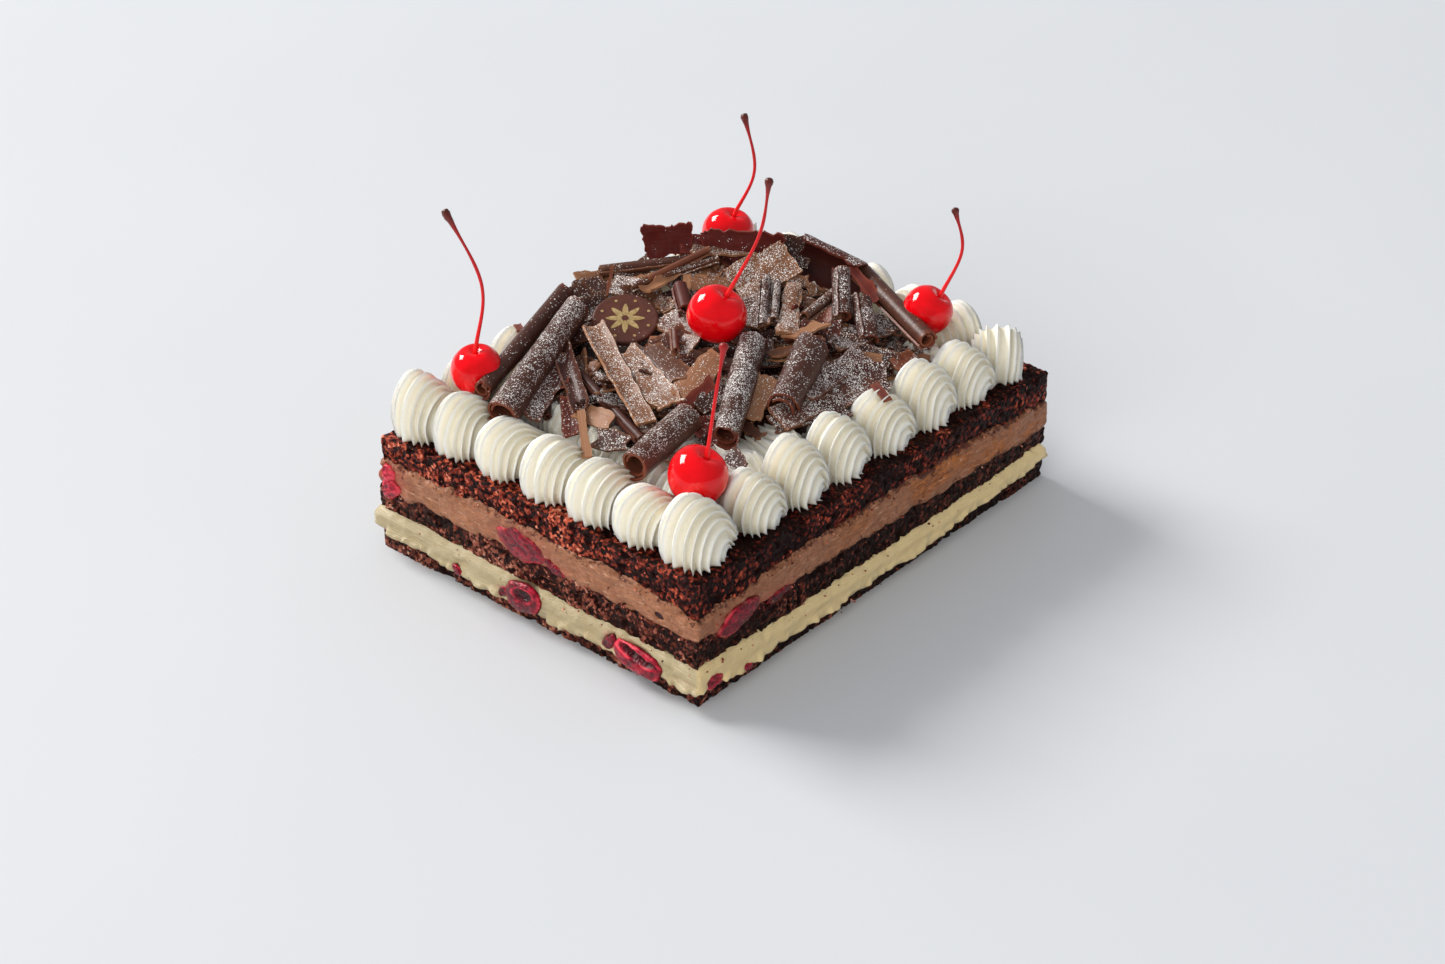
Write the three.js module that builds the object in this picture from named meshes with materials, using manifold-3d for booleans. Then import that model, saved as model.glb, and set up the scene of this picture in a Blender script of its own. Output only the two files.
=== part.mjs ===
// Black forest cake: an uncut oblong layer cake with a piped cream border, five cocktail cherries,
// a heap of chocolate shards and rolls, and a round chocolate plaque.
// Millimetres, +Z up. The origin is the middle of the flat bottom, and X runs along the long side.

import * as THREE from 'three';
import { mergeVertices } from 'three/addons/utils/BufferGeometryUtils.js';
import Module from 'manifold-3d';

// Driving dimensions
const LENGTH = 190.4;           // long side of the block
const WIDTH = 146.8;            // short side of the block
const GAP = 0.3;                // space kept between neighbouring pieces
const SHELL_RADIUS = 9.8;       // half width of a piped shell
const SHELL_HEIGHT = 21.5;
const SHELL_FOOT = 0.88;        // foot radius, in shell radii
const SHELL_RIDGES = 7;
const RIDGE_DEPTH = 0.1;        // depth of the valleys, in shell radii
const BED_RISE = 7.5;           // cream between the border's rows
const HEAP_RISE = 17;           // chocolate heap over that cream, at its middle
const STEM_RADIUS = 0.75;
const STEM_CLEAR = 1.25;        // from the dimple's floor to the middle of the stem's end
const STEM_SIDES = 5;
const STEM_STEPS = 6;
const KNOB_RADIUS = 1.6;
const ROLL_STEP = 0.16;         // a roll's outer edge stands proud by this part of its radius
const PLATE_THICKNESS = 1.3;
const PLAQUE_RADIUS = 12;
const PLAQUE_THICKNESS = 2.2;
const PLAQUE_SEGMENTS = 24;

const HALF_X = LENGTH / 2;
const HALF_Y = WIDTH / 2;
const UP = new THREE.Vector3(0, 0, 1);

const finish = (color, roughness) => new THREE.MeshStandardMaterial({ color, roughness, metalness: 0 });
const FINISHES = {
  sponge: finish(0x35140f, 0.95),
  cream: finish(0xece5cf, 0.5),
  mousse: finish(0x9a6a50, 0.6),
  cherry: finish(0xd9121b, 0.12),
  stem: finish(0x9c1216, 0.4),
  chocolate: finish(0x45251f, 0.45),
};

// ---------- Solids ----------

const wasm = await Module();
wasm.setup();

function signedVolume(geometry) {
  const { array } = geometry.index;
  const corners = [new THREE.Vector3(), new THREE.Vector3(), new THREE.Vector3()];
  let volume = 0;
  for (let i = 0; i < array.length; i += 3) {
    corners.forEach((corner, k) => corner.fromBufferAttribute(geometry.attributes.position, array[i + k]));
    volume += corners[0].dot(corners[1].cross(corners[2])) / 6;
  }
  return volume;
}

const WELD = 1e-3;              // corners nearer than this are one

// Merges shared vertices, drops triangles without area and turns the faces outwards.
function closed(geometry) {
  geometry.deleteAttribute('normal');
  geometry.deleteAttribute('uv');
  const merged = mergeVertices(geometry, WELD);
  const triangles = [];
  for (let i = 0; i < merged.index.count; i += 3) {
    const [a, b, c] = merged.index.array.slice(i, i + 3);
    if (a !== b && b !== c && c !== a) {
      triangles.push(a, b, c);
    }
  }
  merged.setIndex(triangles);
  if (signedVolume(merged) < 0) {
    merged.setIndex(triangles.toReversed());
  }
  return merged;
}

function fromTriangles(points, triangles) {
  const geometry = new THREE.BufferGeometry();
  geometry.setAttribute('position', new THREE.Float32BufferAttribute(points.flat(), 3));
  geometry.setIndex(triangles);
  return closed(geometry);
}

function toManifold(geometry, matrix = new THREE.Matrix4()) {
  const placed = geometry.clone().applyMatrix4(matrix);
  return new wasm.Manifold(new wasm.Mesh({
    numProp: 3,
    vertProperties: new Float32Array(placed.attributes.position.array),
    triVerts: new Uint32Array(placed.index.array),
  }));
}

function fromManifold(solid) {
  const { vertProperties, triVerts } = solid.getMesh();
  const geometry = new THREE.BufferGeometry();
  geometry.setAttribute('position', new THREE.BufferAttribute(vertProperties.slice(), 3));
  geometry.setIndex(Array.from(triVerts));
  return closed(geometry);
}

// Cuts the cutter meshes out of a mesh, in the mesh's own frame.
function carve(mesh, cutters) {
  mesh.updateMatrixWorld(true);
  const box = new THREE.Box3().setFromObject(mesh);
  const toLocal = mesh.matrixWorld.clone().invert();
  for (const cutter of cutters) {
    cutter.updateMatrixWorld(true);
    if (box.intersectsBox(new THREE.Box3().setFromObject(cutter))) {
      const tool = toManifold(cutter.geometry, toLocal.clone().multiply(cutter.matrixWorld));
      mesh.geometry = fromManifold(toManifold(mesh.geometry).subtract(tool));
    }
  }
}

function piece(name, material, geometry) {
  const mesh = new THREE.Mesh(geometry, material.clone());
  mesh.name = name;
  return mesh;
}

// A slab over a grid of columns and rows: each level gives a point for a grid place,
// the first and last are the bottom and top faces, and those between shape the sides.
function gridSlab(columns, rows, levels) {
  const points = [];
  const triangles = [];
  const rim = [];
  for (let i = 0; i < columns; i++) {
    rim.push([i, 0]);
  }
  for (let j = 0; j < rows; j++) {
    rim.push([columns, j]);
  }
  for (let i = columns; i > 0; i--) {
    rim.push([i, rows]);
  }
  for (let j = rows; j > 0; j--) {
    rim.push([0, j]);
  }
  const face = (level) => {
    const start = points.length;
    for (let j = 0; j <= rows; j++) {
      for (let i = 0; i <= columns; i++) {
        points.push(level(i, j));
      }
    }
    return (i, j) => start + j * (columns + 1) + i;
  };
  const bottom = face(levels[0]);
  const top = face(levels.at(-1));
  for (let j = 0; j < rows; j++) {
    for (let i = 0; i < columns; i++) {
      const cell = (at) => [at(i, j), at(i + 1, j), at(i + 1, j + 1), at(i, j + 1)];
      const [a, b, c, d] = cell(top);
      triangles.push(a, b, c, a, c, d);
      const [e, f, g, h] = cell(bottom);
      triangles.push(e, g, f, e, h, g);
    }
  }
  const belts = [rim.map(([i, j]) => bottom(i, j))];
  for (const level of levels.slice(1, -1)) {
    belts.push(rim.map(([i, j]) => points.push(level(i, j)) - 1));
  }
  belts.push(rim.map(([i, j]) => top(i, j)));
  for (let k = 0; k + 1 < belts.length; k++) {
    for (let n = 0; n < rim.length; n++) {
      const next = (n + 1) % rim.length;
      const [a, b, c, d] = [belts[k][n], belts[k][next], belts[k + 1][next], belts[k + 1][n]];
      triangles.push(a, b, c, a, c, d);
    }
  }
  return fromTriangles(points, triangles);
}

// ---------- The block's layers ----------

const BLOCK_COLUMNS = 7;
const BLOCK_ROWS = 5;
const BLOCK_CORNERS = { left: [-1, 1], front: [-1, -1], right: [1, -1], back: [1, 1] };

// Height of each boundary at the four corners, and how far it bows up midway along the sides.
const BOUNDARIES = [
  { left: 0, front: 0, right: 0, back: 0, bowX: 0, bowY: 0 },
  { left: 8, front: 6.8, right: 7.2, back: 7.4, bowX: -0.3, bowY: -2 },
  { left: 17.6, front: 15.4, right: 14.4, back: 16, bowX: 0.2, bowY: -0.3 },
  { left: 25.5, front: 27.2, right: 21.5, back: 24.5, bowX: 1.5, bowY: 0.6 },
  { left: 36.6, front: 35.2, right: 31, back: 35.5, bowX: 0.4, bowY: 2 },
  { left: 48.1, front: 49.3, right: 45.5, back: 46.4, bowX: 0, bowY: 0 },
];

// Each layer's sides: inset of the rims and of the middle from the block's side, and depth of its waves.
const LAYERS = [
  { name: 'sponge_bottom', finish: 'sponge', rim: 1.6, middle: 1.4, wave: 0.5 },
  { name: 'cream_filling', finish: 'cream', rim: 0.9, middle: 0, wave: 0.5 },
  { name: 'sponge_middle', finish: 'sponge', rim: 1.1, middle: 0.9, wave: 0.6 },
  { name: 'mousse', finish: 'mousse', rim: 1, middle: 0.7, wave: 0.5 },
  { name: 'sponge_top', finish: 'sponge', rim: 1.3, middle: 0.6, wave: 0.6 },
];
const CORNER_ROUND = 1.2;       // how much further in the corners are
const SIDE_WAVE = { x: 2.7, y: 2.1 };  // how fast the waves turn along the sides, in radians a grid step
const WAVE_SHIFT = 1.7;         // how far each layer's waves are shifted against the next layer's

function boundaryHeight(index, x, y) {
  const boundary = BOUNDARIES[index];
  const u = x / HALF_X;
  const v = y / HALF_Y;
  let height = boundary.bowX * (1 - u * u) + boundary.bowY * (1 - v * v);
  for (const [corner, [cu, cv]] of Object.entries(BLOCK_CORNERS)) {
    height += boundary[corner] * (1 + cu * u) * (1 + cv * v) / 4;
  }
  return height;
}

const topHeight = (x, y) => boundaryHeight(BOUNDARIES.length - 1, x, y);

function layerGeometry(layer, index) {
  const level = (boundary, inset, lift) => (i, j) => {
    const u = 2 * i / BLOCK_COLUMNS - 1;
    const v = 2 * j / BLOCK_ROWS - 1;
    const corner = Math.abs(u) === 1 && Math.abs(v) === 1 ? CORNER_ROUND : 0;
    const wave = (phase) => layer.wave * (0.5 + 0.5 * Math.sin(phase + WAVE_SHIFT * index));
    const x = u * (HALF_X - (Math.abs(u) === 1 ? inset + corner + wave(SIDE_WAVE.y * j) : 0));
    const y = v * (HALF_Y - (Math.abs(v) === 1 ? inset + corner + wave(SIDE_WAVE.x * i) : 0));
    const low = boundaryHeight(index, x, y);
    const high = boundaryHeight(index + 1, x, y);
    return [x, y, boundary === 'low' ? low + lift : boundary === 'high' ? high - lift : (low + high) / 2];
  };
  const under = index === 0 ? 0 : GAP / 2;
  const over = index === LAYERS.length - 1 ? 0 : GAP / 2;
  return gridSlab(BLOCK_COLUMNS, BLOCK_ROWS, [
    level('low', layer.rim, under),
    level('middle', layer.middle, 0),
    level('high', layer.rim, over),
  ]);
}

// ---------- Piped shells ----------

// Sections fan about a hinge line at the foot's inner edge: the angle about the hinge in degrees,
// and the section's reach from the hinge and its half width, in shell radii. The tail fades with reach.
const shellSections = (tail) => [
  { angle: 0, reach: 2 * SHELL_FOOT, width: 0.9 },
  { angle: 22, reach: 2.15, width: 1 },
  { angle: 45, reach: 2.32, width: 1 },
  { angle: 68, reach: 2.1, width: 0.98 },
  { angle: 98, reach: 0.87 + 0.4 * tail, width: 0.9 },
  { angle: 145, reach: 0.1 + 0.85 * tail, width: 0.62 },
  { angle: 180, reach: tail, width: 0.3 },
];
const SHELL_CROWN = 2.1 * Math.sin(THREE.MathUtils.degToRad(68));

// The shell's pull is along +X, and its foot's middle is the origin.
function shellGeometry(radius, height, length) {
  const count = 2 * SHELL_RIDGES;
  const hinge = SHELL_FOOT * radius;
  const points = [[hinge, 0, 0]];
  const triangles = [];
  const sections = shellSections(length / radius - SHELL_FOOT);
  const at = (section, k) => (k % count === 0 ? 0 : 1 + section * (count - 1) + (k % count) - 1);
  for (const { angle, reach, width } of sections) {
    const turn = THREE.MathUtils.degToRad(angle);
    for (let k = 1; k < count; k++) {
      const around = 2 * Math.PI * k / count;
      const ridge = k % 2 === 1 ? 1 : 1 - RIDGE_DEPTH;
      const far = radius * reach / 2 * (1 - ridge * Math.cos(around));
      const side = radius * width * ridge * Math.sin(around);
      const rise = far * Math.sin(turn) * height / (SHELL_CROWN * radius);
      points.push([hinge - far * Math.cos(turn), side, rise]);
    }
  }
  const last = sections.length - 1;
  for (let s = 0; s < last; s++) {
    for (let k = 0; k < count; k++) {
      triangles.push(at(s, k), at(s, k + 1), at(s + 1, k + 1));
      triangles.push(at(s, k), at(s + 1, k + 1), at(s + 1, k));
    }
  }
  for (let k = 1; k < count - 1; k++) {
    triangles.push(0, at(0, k + 1), at(0, k));
    triangles.push(0, at(last, k), at(last, k + 1));
  }
  return fromTriangles(points, triangles);
}

// The border: each shell's place, pull in degrees from +X, length of its tail from the foot's middle,
// and its radius and height where they differ from the usual.
const BORDER = [
  // the short side at -X, from the left corner to the front corner
  { x: -85.2, y: 63.1, pull: 0, tail: 14, radius: 9.6, height: 24.5 },
  { x: -84.4, y: 43.8, pull: 3, tail: 22, radius: 9.4, height: 22 },
  { x: -84, y: 23.2, pull: -2, tail: 22, height: 19.5 },
  { x: -84.3, y: 0.9, pull: 2, tail: 22, radius: 10.3, height: 21 },
  { x: -84.8, y: -21, pull: 0, tail: 22, radius: 10, height: 21 },
  { x: -85, y: -41.3, pull: -2, tail: 21, radius: 9.7, height: 19 },
  { x: -84.2, y: -62.2, pull: 0, tail: 18.5, radius: 10.4, height: 24 },
  // the long side at -Y
  { x: -55.5, y: -61.8, pull: 1, tail: 12.1, height: 21 },
  { x: -33.4, y: -61.9, pull: -2, tail: 13, radius: 9.5, height: 24.5 },
  { x: -10.5, y: -61.6, pull: 2, tail: 14.8, height: 23 },
  { x: 14.2, y: -61.4, pull: -1, tail: 13.6, height: 21.5 },
  { x: 37.6, y: -61.6, pull: 1, tail: 12.9, height: 24.5 },
  { x: 60.4, y: -61.5, pull: 0, tail: 12, height: 22.5 },
  // the short side at +X
  { x: 82.2, y: -61.9, pull: 42, tail: 11.1, radius: 9.5, height: 21 },
  { x: 84.2, y: -40.2, pull: 88, tail: 9.5, radius: 9.3, height: 22 },
  { x: 84, y: -20, pull: 91, tail: 9.5, radius: 9.5, height: 21 },
  { x: 84.4, y: 0.4, pull: 90, tail: 9.2, radius: 9.5, height: 22.5 },
  { x: 84.1, y: 20.7, pull: 89, tail: 9.4, radius: 9.5, height: 21.2 },
  { x: 84.3, y: 41, pull: 90, tail: 10, radius: 9.5, height: 22 },
  { x: 85, y: 63.3, pull: 225, tail: 9.4, radius: 8.7, height: 21.5 },
  // the long side at +Y
  { x: -61.3, y: 62.6, pull: -1, tail: 14, height: 21.6 },
  { x: -37.2, y: 62.9, pull: 2, tail: 14, height: 23 },
  { x: -13.1, y: 62.5, pull: 0, tail: 14, height: 21.4 },
  { x: 11.1, y: 62.8, pull: -2, tail: 14, height: 22.6 },
  { x: 35.2, y: 62.6, pull: 1, tail: 14, height: 22 },
  { x: 59.2, y: 62.8, pull: 0, tail: 13, height: 23.2 },
];

function shell({ x, y, pull, tail, radius = SHELL_RADIUS, height = SHELL_HEIGHT }, index) {
  const number = String(index + 1).padStart(2, '0');
  const mesh = piece(`swirl_${number}`, FINISHES.cream, shellGeometry(radius, height, tail));
  mesh.position.set(x, y, topHeight(x, y) + GAP);
  mesh.rotation.z = THREE.MathUtils.degToRad(pull);
  return mesh;
}

// ---------- Cream and chocolate heap inside the border ----------

const INNER_COLUMNS = 9;
const INNER_ROWS = 6;
const INNER = { minX: -61, maxX: 72.4, minY: -50.4, maxY: 52 };
const UNEVEN_RIM = 3.4;
const RIPPLE = { column: 2.4, row: 3.1, sway: 1.3, swayRow: 1.9 };  // turns a grid step, in radians
const HEAP_RIPPLE = 3;
const HEAP_TILT = [1.5, 3.5];   // how much higher the heap stands towards +X and +Y
const HEAP_FALL = [0.6, 0.4];   // how far it falls towards its sides, as parts of its rise
const HEAP_RIM = 3;             // least height of the heap
const BED_RIM = 0.7;            // the cream's height at its rim, as a part of its rise

function ripple(i, j) {
  const sway = RIPPLE.sway * Math.sin(RIPPLE.swayRow * j);
  return 0.5 + 0.5 * Math.sin(RIPPLE.column * i + RIPPLE.row * j + sway);
}

function innerPlace(i, j) {
  const onRimX = i === 0 || i === INNER_COLUMNS;
  const onRimY = j === 0 || j === INNER_ROWS;
  const pinch = UNEVEN_RIM * ripple(i, j) * (onRimX && onRimY ? 2 : 1);
  const centreX = (INNER.minX + INNER.maxX) / 2;
  const centreY = (INNER.minY + INNER.maxY) / 2;
  const u = 2 * i / INNER_COLUMNS - 1;
  const v = 2 * j / INNER_ROWS - 1;
  return {
    x: centreX + u * ((INNER.maxX - INNER.minX) / 2 - (onRimX ? pinch : 0)),
    y: centreY + v * ((INNER.maxY - INNER.minY) / 2 - (onRimY ? pinch : 0)),
    u,
    v,
    onRim: onRimX || onRimY,
  };
}

function creamBedGeometry() {
  const level = (share) => (i, j) => {
    const { x, y, onRim } = innerPlace(i, j);
    const rise = share * BED_RISE * (onRim ? BED_RIM : 1);
    return [x, y, topHeight(x, y) + GAP + rise];
  };
  return gridSlab(INNER_COLUMNS, INNER_ROWS, [level(0), level(1)]);
}

function heapGeometry() {
  const level = (share) => (i, j) => {
    const { x, y, u, v, onRim } = innerPlace(i, j);
    const bed = topHeight(x, y) + 2 * GAP + BED_RISE * (onRim ? BED_RIM : 1);
    const dome = HEAP_RISE * (1 - HEAP_FALL[0] * u * u - HEAP_FALL[1] * v * v);
    const tilt = HEAP_TILT[0] * u + HEAP_TILT[1] * v;
    const rise = Math.max(HEAP_RIM, dome + tilt + HEAP_RIPPLE * (ripple(i + 0.5, j) - 0.5));
    return [x, y, bed + share * rise];
  };
  return gridSlab(INNER_COLUMNS, INNER_ROWS, [level(0), level(1)]);
}

// ---------- Cherries ----------

// Each cherry's place, radius, how far its top leans towards X and Y for each unit up,
// and its stem's middle and end from where the stem starts.
const CHERRIES = [
  {
    name: 'front', at: [-67.7, -49.2, 67.4], radius: 10.35, lean: [0.31, -0.355],
    stem: [[5, 1, 18], [11.8, 2.6, 37]],
  },
  {
    name: 'left', at: [-67.2, 53.5, 68.9], radius: 9.4, lean: [-0.03, 0.04],
    stem: [[6.6, 2.1, 23], [2.3, 14, 49.5]],
  },
  {
    name: 'back', at: [66.3, 53.5, 71], radius: 9.8, lean: [0.2, -0.23],
    stem: [[8.2, -3.2, 17], [9.6, 3.2, 37.5]],
  },
  {
    name: 'right', at: [68.7, -39.6, 70], radius: 9.2, lean: [0.51, -0.59],
    stem: [[8.2, -2.9, 16.4], [9.4, 2, 31.2]],
  },
  {
    name: 'centre', at: [0, 1.2, 82], radius: 10.5, lean: [0.31, -0.355],
    stem: [[12, -4.8, 21], [18.5, -3.9, 40.2]],
  },
];
const CHERRY_SEGMENTS = 11;
const DIMPLE = 0.62;            // height of the dimple's floor, in cherry radii

// Half profile of a cherry in radii: round below, with shoulders that turn down into the dimple.
const CHERRY_PROFILE = [
  [0, -0.96], [0.42, -0.88], [0.78, -0.6], [0.98, -0.16],
  [0.97, 0.28], [0.76, 0.68], [0.42, 0.87], [0.18, 0.8], [0, DIMPLE],
];

function cherryGeometry(radius) {
  const profile = CHERRY_PROFILE.map(([r, z]) => new THREE.Vector2(radius * r, radius * z));
  return closed(new THREE.LatheGeometry(profile, CHERRY_SEGMENTS).rotateX(Math.PI / 2));
}

function regularPolygon(radius, sides) {
  const corners = [];
  for (let k = 0; k < sides; k++) {
    const angle = 2 * Math.PI * k / sides;
    corners.push(new THREE.Vector2(radius * Math.cos(angle), radius * Math.sin(angle)));
  }
  return new THREE.Shape(corners);
}

function stemGeometry(points) {
  const knots = [[0, 0, 0], ...points].map((point) => new THREE.Vector3(...point));
  const extrudePath = new THREE.CatmullRomCurve3(knots);
  const section = regularPolygon(STEM_RADIUS, STEM_SIDES);
  const tube = new THREE.ExtrudeGeometry(section, { steps: STEM_STEPS, extrudePath });
  const knob = new THREE.IcosahedronGeometry(KNOB_RADIUS, 0).translate(...points.at(-1));
  return fromManifold(toManifold(closed(tube)).add(toManifold(closed(knob))));
}

const axisOf = ({ lean }) => new THREE.Vector3(...lean, 1).normalize();

function cherry(spec, grow = 0) {
  const mesh = piece(`cherry_${spec.name}`, FINISHES.cherry, cherryGeometry(spec.radius + grow));
  mesh.quaternion.setFromUnitVectors(UP, axisOf(spec));
  mesh.position.set(...spec.at);
  return mesh;
}

// A stem stands clear of the dimple's floor, on the cherry's axis.
function stem(spec) {
  const mesh = piece(`stem_${spec.name}`, FINISHES.stem, stemGeometry(spec.stem));
  mesh.position.set(...spec.at).addScaledVector(axisOf(spec), spec.radius * DIMPLE + STEM_CLEAR);
  return mesh;
}

// ---------- Chocolate rolls, plates and plaque ----------

// Rolls run from one end to the other, with a radius at each end.
const ROLLS = [
  { name: 'roll_left_outer', from: [-12, 63.8, 74.2], to: [-75.9, 42.9, 68.2], radii: [3.9, 4] },
  { name: 'roll_left_inner', from: [-21.1, 49.5, 76], to: [-78.5, 30.5, 65], radii: [5.2, 6.4] },
  { name: 'roll_front', from: [-41, -22, 68], to: [-76, -28.6, 67], radii: [6, 5.8] },
  { name: 'roll_right', from: [73, -6, 71.5], to: [54, -51, 68], radii: [4.4, 4.2] },
  { name: 'roll_fat', from: [16, -29, 73.5], to: [-14, -40.7, 66.5], radii: [6.9, 6.2] },
  { name: 'roll_sugared', from: [2, -13.5, 75], to: [-40, -37.5, 65], radii: [6.2, 5.4] },
  { name: 'curl_upper', from: [57, -9, 81], to: [43, -21, 71], radii: [3.8, 4] },
  { name: 'curl_lower', from: [55, -20, 74.5], to: [43.5, -33, 65.5], radii: [4.2, 4.6] },
];
const ROLL_SIDES = 9;

function rollGeometry(length, radii) {
  const outline = [];
  for (let k = 0; k <= ROLL_SIDES; k++) {
    const angle = 2 * Math.PI * k / ROLL_SIDES;
    const reach = 1 - ROLL_STEP * (1 - k / ROLL_SIDES);
    outline.push(new THREE.Vector2(reach * Math.cos(angle), reach * Math.sin(angle)));
  }
  const section = new THREE.Shape(outline);
  const geometry = new THREE.ExtrudeGeometry(section, { depth: length, bevelEnabled: false });
  const { position } = geometry.attributes;
  for (let i = 0; i < position.count; i++) {
    const scale = THREE.MathUtils.lerp(radii[0], radii[1], position.getZ(i) / length);
    position.setXY(i, position.getX(i) * scale, position.getY(i) * scale);
  }
  return closed(geometry);
}

// Plates run from one end to the other; face is the way that their hollow side looks,
// and bend is the angle that the width curls through, in degrees.
const PLATES = [
  {
    name: 'plate_arch', from: [69.2, 18.8, 76], to: [76.4, -4.7, 69],
    width: 30, bend: 190, face: [-0.8, -0.59, -0.11],
  },
  {
    name: 'plate_back_left', from: [25, 60, 80.5], to: [38, 45, 82.5],
    width: 15, bend: 24, face: [-0.8, -0.6, 0.2],
  },
  {
    name: 'plate_back_right', from: [39, 45, 80.5], to: [56, 17, 78],
    width: 12, bend: 20, face: [-0.8, -0.5, 0.3],
  },
  {
    name: 'plate_light', from: [30, 18, 74], to: [51, 10, 81.5],
    width: 15, bend: 16, face: [-0.5, -0.35, 0.75],
  },
  {
    name: 'strip_long', from: [-25, 37.5, 74], to: [-53.5, -14, 66],
    width: 8, bend: 60, face: [-0.3, -0.5, 0.8],
  },
];
const PLATE_STEPS = 6;

function plateGeometry(length, width, bend, grow) {
  const spread = THREE.MathUtils.degToRad(bend);
  const radius = width / spread;
  const half = PLATE_THICKNESS / 2 + grow;
  const margin = grow / radius;
  const arc = (reach, share) => {
    const angle = (spread / 2 + margin) * (2 * share - 1);
    return new THREE.Vector2(reach * Math.sin(angle), radius - reach * Math.cos(angle));
  };
  const outline = [];
  for (let k = 0; k <= PLATE_STEPS; k++) {
    outline.push(arc(radius + half, k / PLATE_STEPS));
  }
  for (let k = PLATE_STEPS; k >= 0; k--) {
    outline.push(arc(radius - half, k / PLATE_STEPS));
  }
  const section = new THREE.Shape(outline);
  return closed(new THREE.ExtrudeGeometry(section, { depth: length, bevelEnabled: false }));
}

// Turns a mesh built along +Z so that it runs between two points, with its +Y side towards face.
function layBetween(mesh, from, to, face, grow) {
  const start = new THREE.Vector3(...from);
  const along = new THREE.Vector3(...to).sub(start).normalize();
  const side = new THREE.Vector3(...face).cross(along).normalize();
  const out = along.clone().cross(side);
  mesh.setRotationFromMatrix(new THREE.Matrix4().makeBasis(side, out, along));
  mesh.position.copy(start.addScaledVector(along, -grow));
  return mesh;
}

const span = ({ from, to }) => new THREE.Vector3(...from).distanceTo(new THREE.Vector3(...to));

function roll(spec, grow = 0) {
  const geometry = rollGeometry(span(spec) + 2 * grow, spec.radii.map((radius) => radius + grow));
  return layBetween(piece(spec.name, FINISHES.chocolate, geometry), spec.from, spec.to, [0, 0, 1], grow);
}

function plate(spec, grow = 0) {
  const geometry = plateGeometry(span(spec) + 2 * grow, spec.width, spec.bend, grow);
  return layBetween(piece(spec.name, FINISHES.chocolate, geometry), spec.from, spec.to, spec.face, grow);
}

const PLAQUE_AT = [-11.5, 34.5, 72.4];
const PLAQUE_NORMAL = [-0.246, -0.214, 0.946];

function plaque(grow = 0) {
  const radius = PLAQUE_RADIUS + grow;
  const geometry = new THREE.CylinderGeometry(radius, radius, PLAQUE_THICKNESS + 2 * grow, PLAQUE_SEGMENTS);
  const mesh = piece('plaque', FINISHES.chocolate, closed(geometry.rotateX(Math.PI / 2)));
  mesh.quaternion.setFromUnitVectors(UP, new THREE.Vector3(...PLAQUE_NORMAL).normalize());
  mesh.position.set(...PLAQUE_AT);
  return mesh;
}

// ---------- Assembly ----------

const block = LAYERS.map((layer, index) => {
  return piece(layer.name, FINISHES[layer.finish], layerGeometry(layer, index));
});
const border = BORDER.map(shell);
const creamBed = piece('cream_bed', FINISHES.cream, creamBedGeometry());
const heap = piece('chocolate_heap', FINISHES.chocolate, heapGeometry());

// The firmer pieces, firmest first: each is cut clear of those before it.
const firm = [
  ...CHERRIES.map((spec) => ({ solid: cherry(spec), tool: cherry(spec, GAP) })),
  { solid: plaque(), tool: plaque(GAP) },
  ...ROLLS.map((spec) => ({ solid: roll(spec), tool: roll(spec, GAP) })),
  ...PLATES.map((spec) => ({ solid: plate(spec), tool: plate(spec, GAP) })),
];
firm.forEach(({ solid }, index) => carve(solid, firm.slice(0, index).map(({ tool }) => tool)));

// Cream and heap give way to every firm piece.
for (const mesh of [...border, creamBed, heap]) {
  carve(mesh, firm.map(({ tool }) => tool));
}

const cake = new THREE.Group();
cake.add(...block, ...border, creamBed, heap, ...firm.map(({ solid }) => solid), ...CHERRIES.map(stem));

export default cake;
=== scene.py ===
"""A black forest cake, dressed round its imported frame.

Shapes are worked out in millimetres in the frame's own axes and scaled to metres as each piece is made:
+Z is up, +X runs along the long side, and the origin is the middle of the flat bottom.
"""

import math

import bpy
import numpy as np
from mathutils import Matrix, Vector


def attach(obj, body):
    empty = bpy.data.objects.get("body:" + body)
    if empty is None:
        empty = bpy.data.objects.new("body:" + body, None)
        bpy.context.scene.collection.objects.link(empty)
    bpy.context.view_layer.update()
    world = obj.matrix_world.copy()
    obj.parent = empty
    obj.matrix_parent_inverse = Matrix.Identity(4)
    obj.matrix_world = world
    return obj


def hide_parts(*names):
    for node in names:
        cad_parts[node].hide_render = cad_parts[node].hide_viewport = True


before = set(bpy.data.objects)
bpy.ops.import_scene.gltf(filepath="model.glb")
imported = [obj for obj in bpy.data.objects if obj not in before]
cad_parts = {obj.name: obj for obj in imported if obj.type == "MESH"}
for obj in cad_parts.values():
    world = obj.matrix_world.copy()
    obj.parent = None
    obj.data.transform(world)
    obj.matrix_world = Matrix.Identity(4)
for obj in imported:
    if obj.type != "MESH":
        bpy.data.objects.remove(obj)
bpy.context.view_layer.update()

MM = 0.001
BODY = "root"
LENGTH, WIDTH = 190.4, 146.8
HALF_X, HALF_Y = LENGTH / 2, WIDTH / 2
UP = np.array([0.0, 0.0, 1.0])


# ---------- Camera, floor and light ----------

LOOK_AT = (16.54, 12.94, 0.0)
DISTANCE = 1095.5
AZIMUTH, ELEVATION = -48.99, 31.896
SENSOR, FOCAL = 36.0, 73.44
VIEW_RIGHT = np.array([math.cos(math.radians(AZIMUTH)), math.sin(math.radians(AZIMUTH)), 0])
NEAREST, FURTHEST = 0.05, 30    # metres from the camera
LAMP_DISTANCE, LAMP_LOOKS_AT = 6.0, 0.04
LAMP_COLOUR = (1.0, 0.985, 0.96)
ROOM_COLOUR = (0.94, 0.96, 1.0, 1)
ROOM_LIT, ROOM_MIRRORED = 0.52, 0.25    # how strongly the room lights things, and how bright mirrors show it


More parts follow.
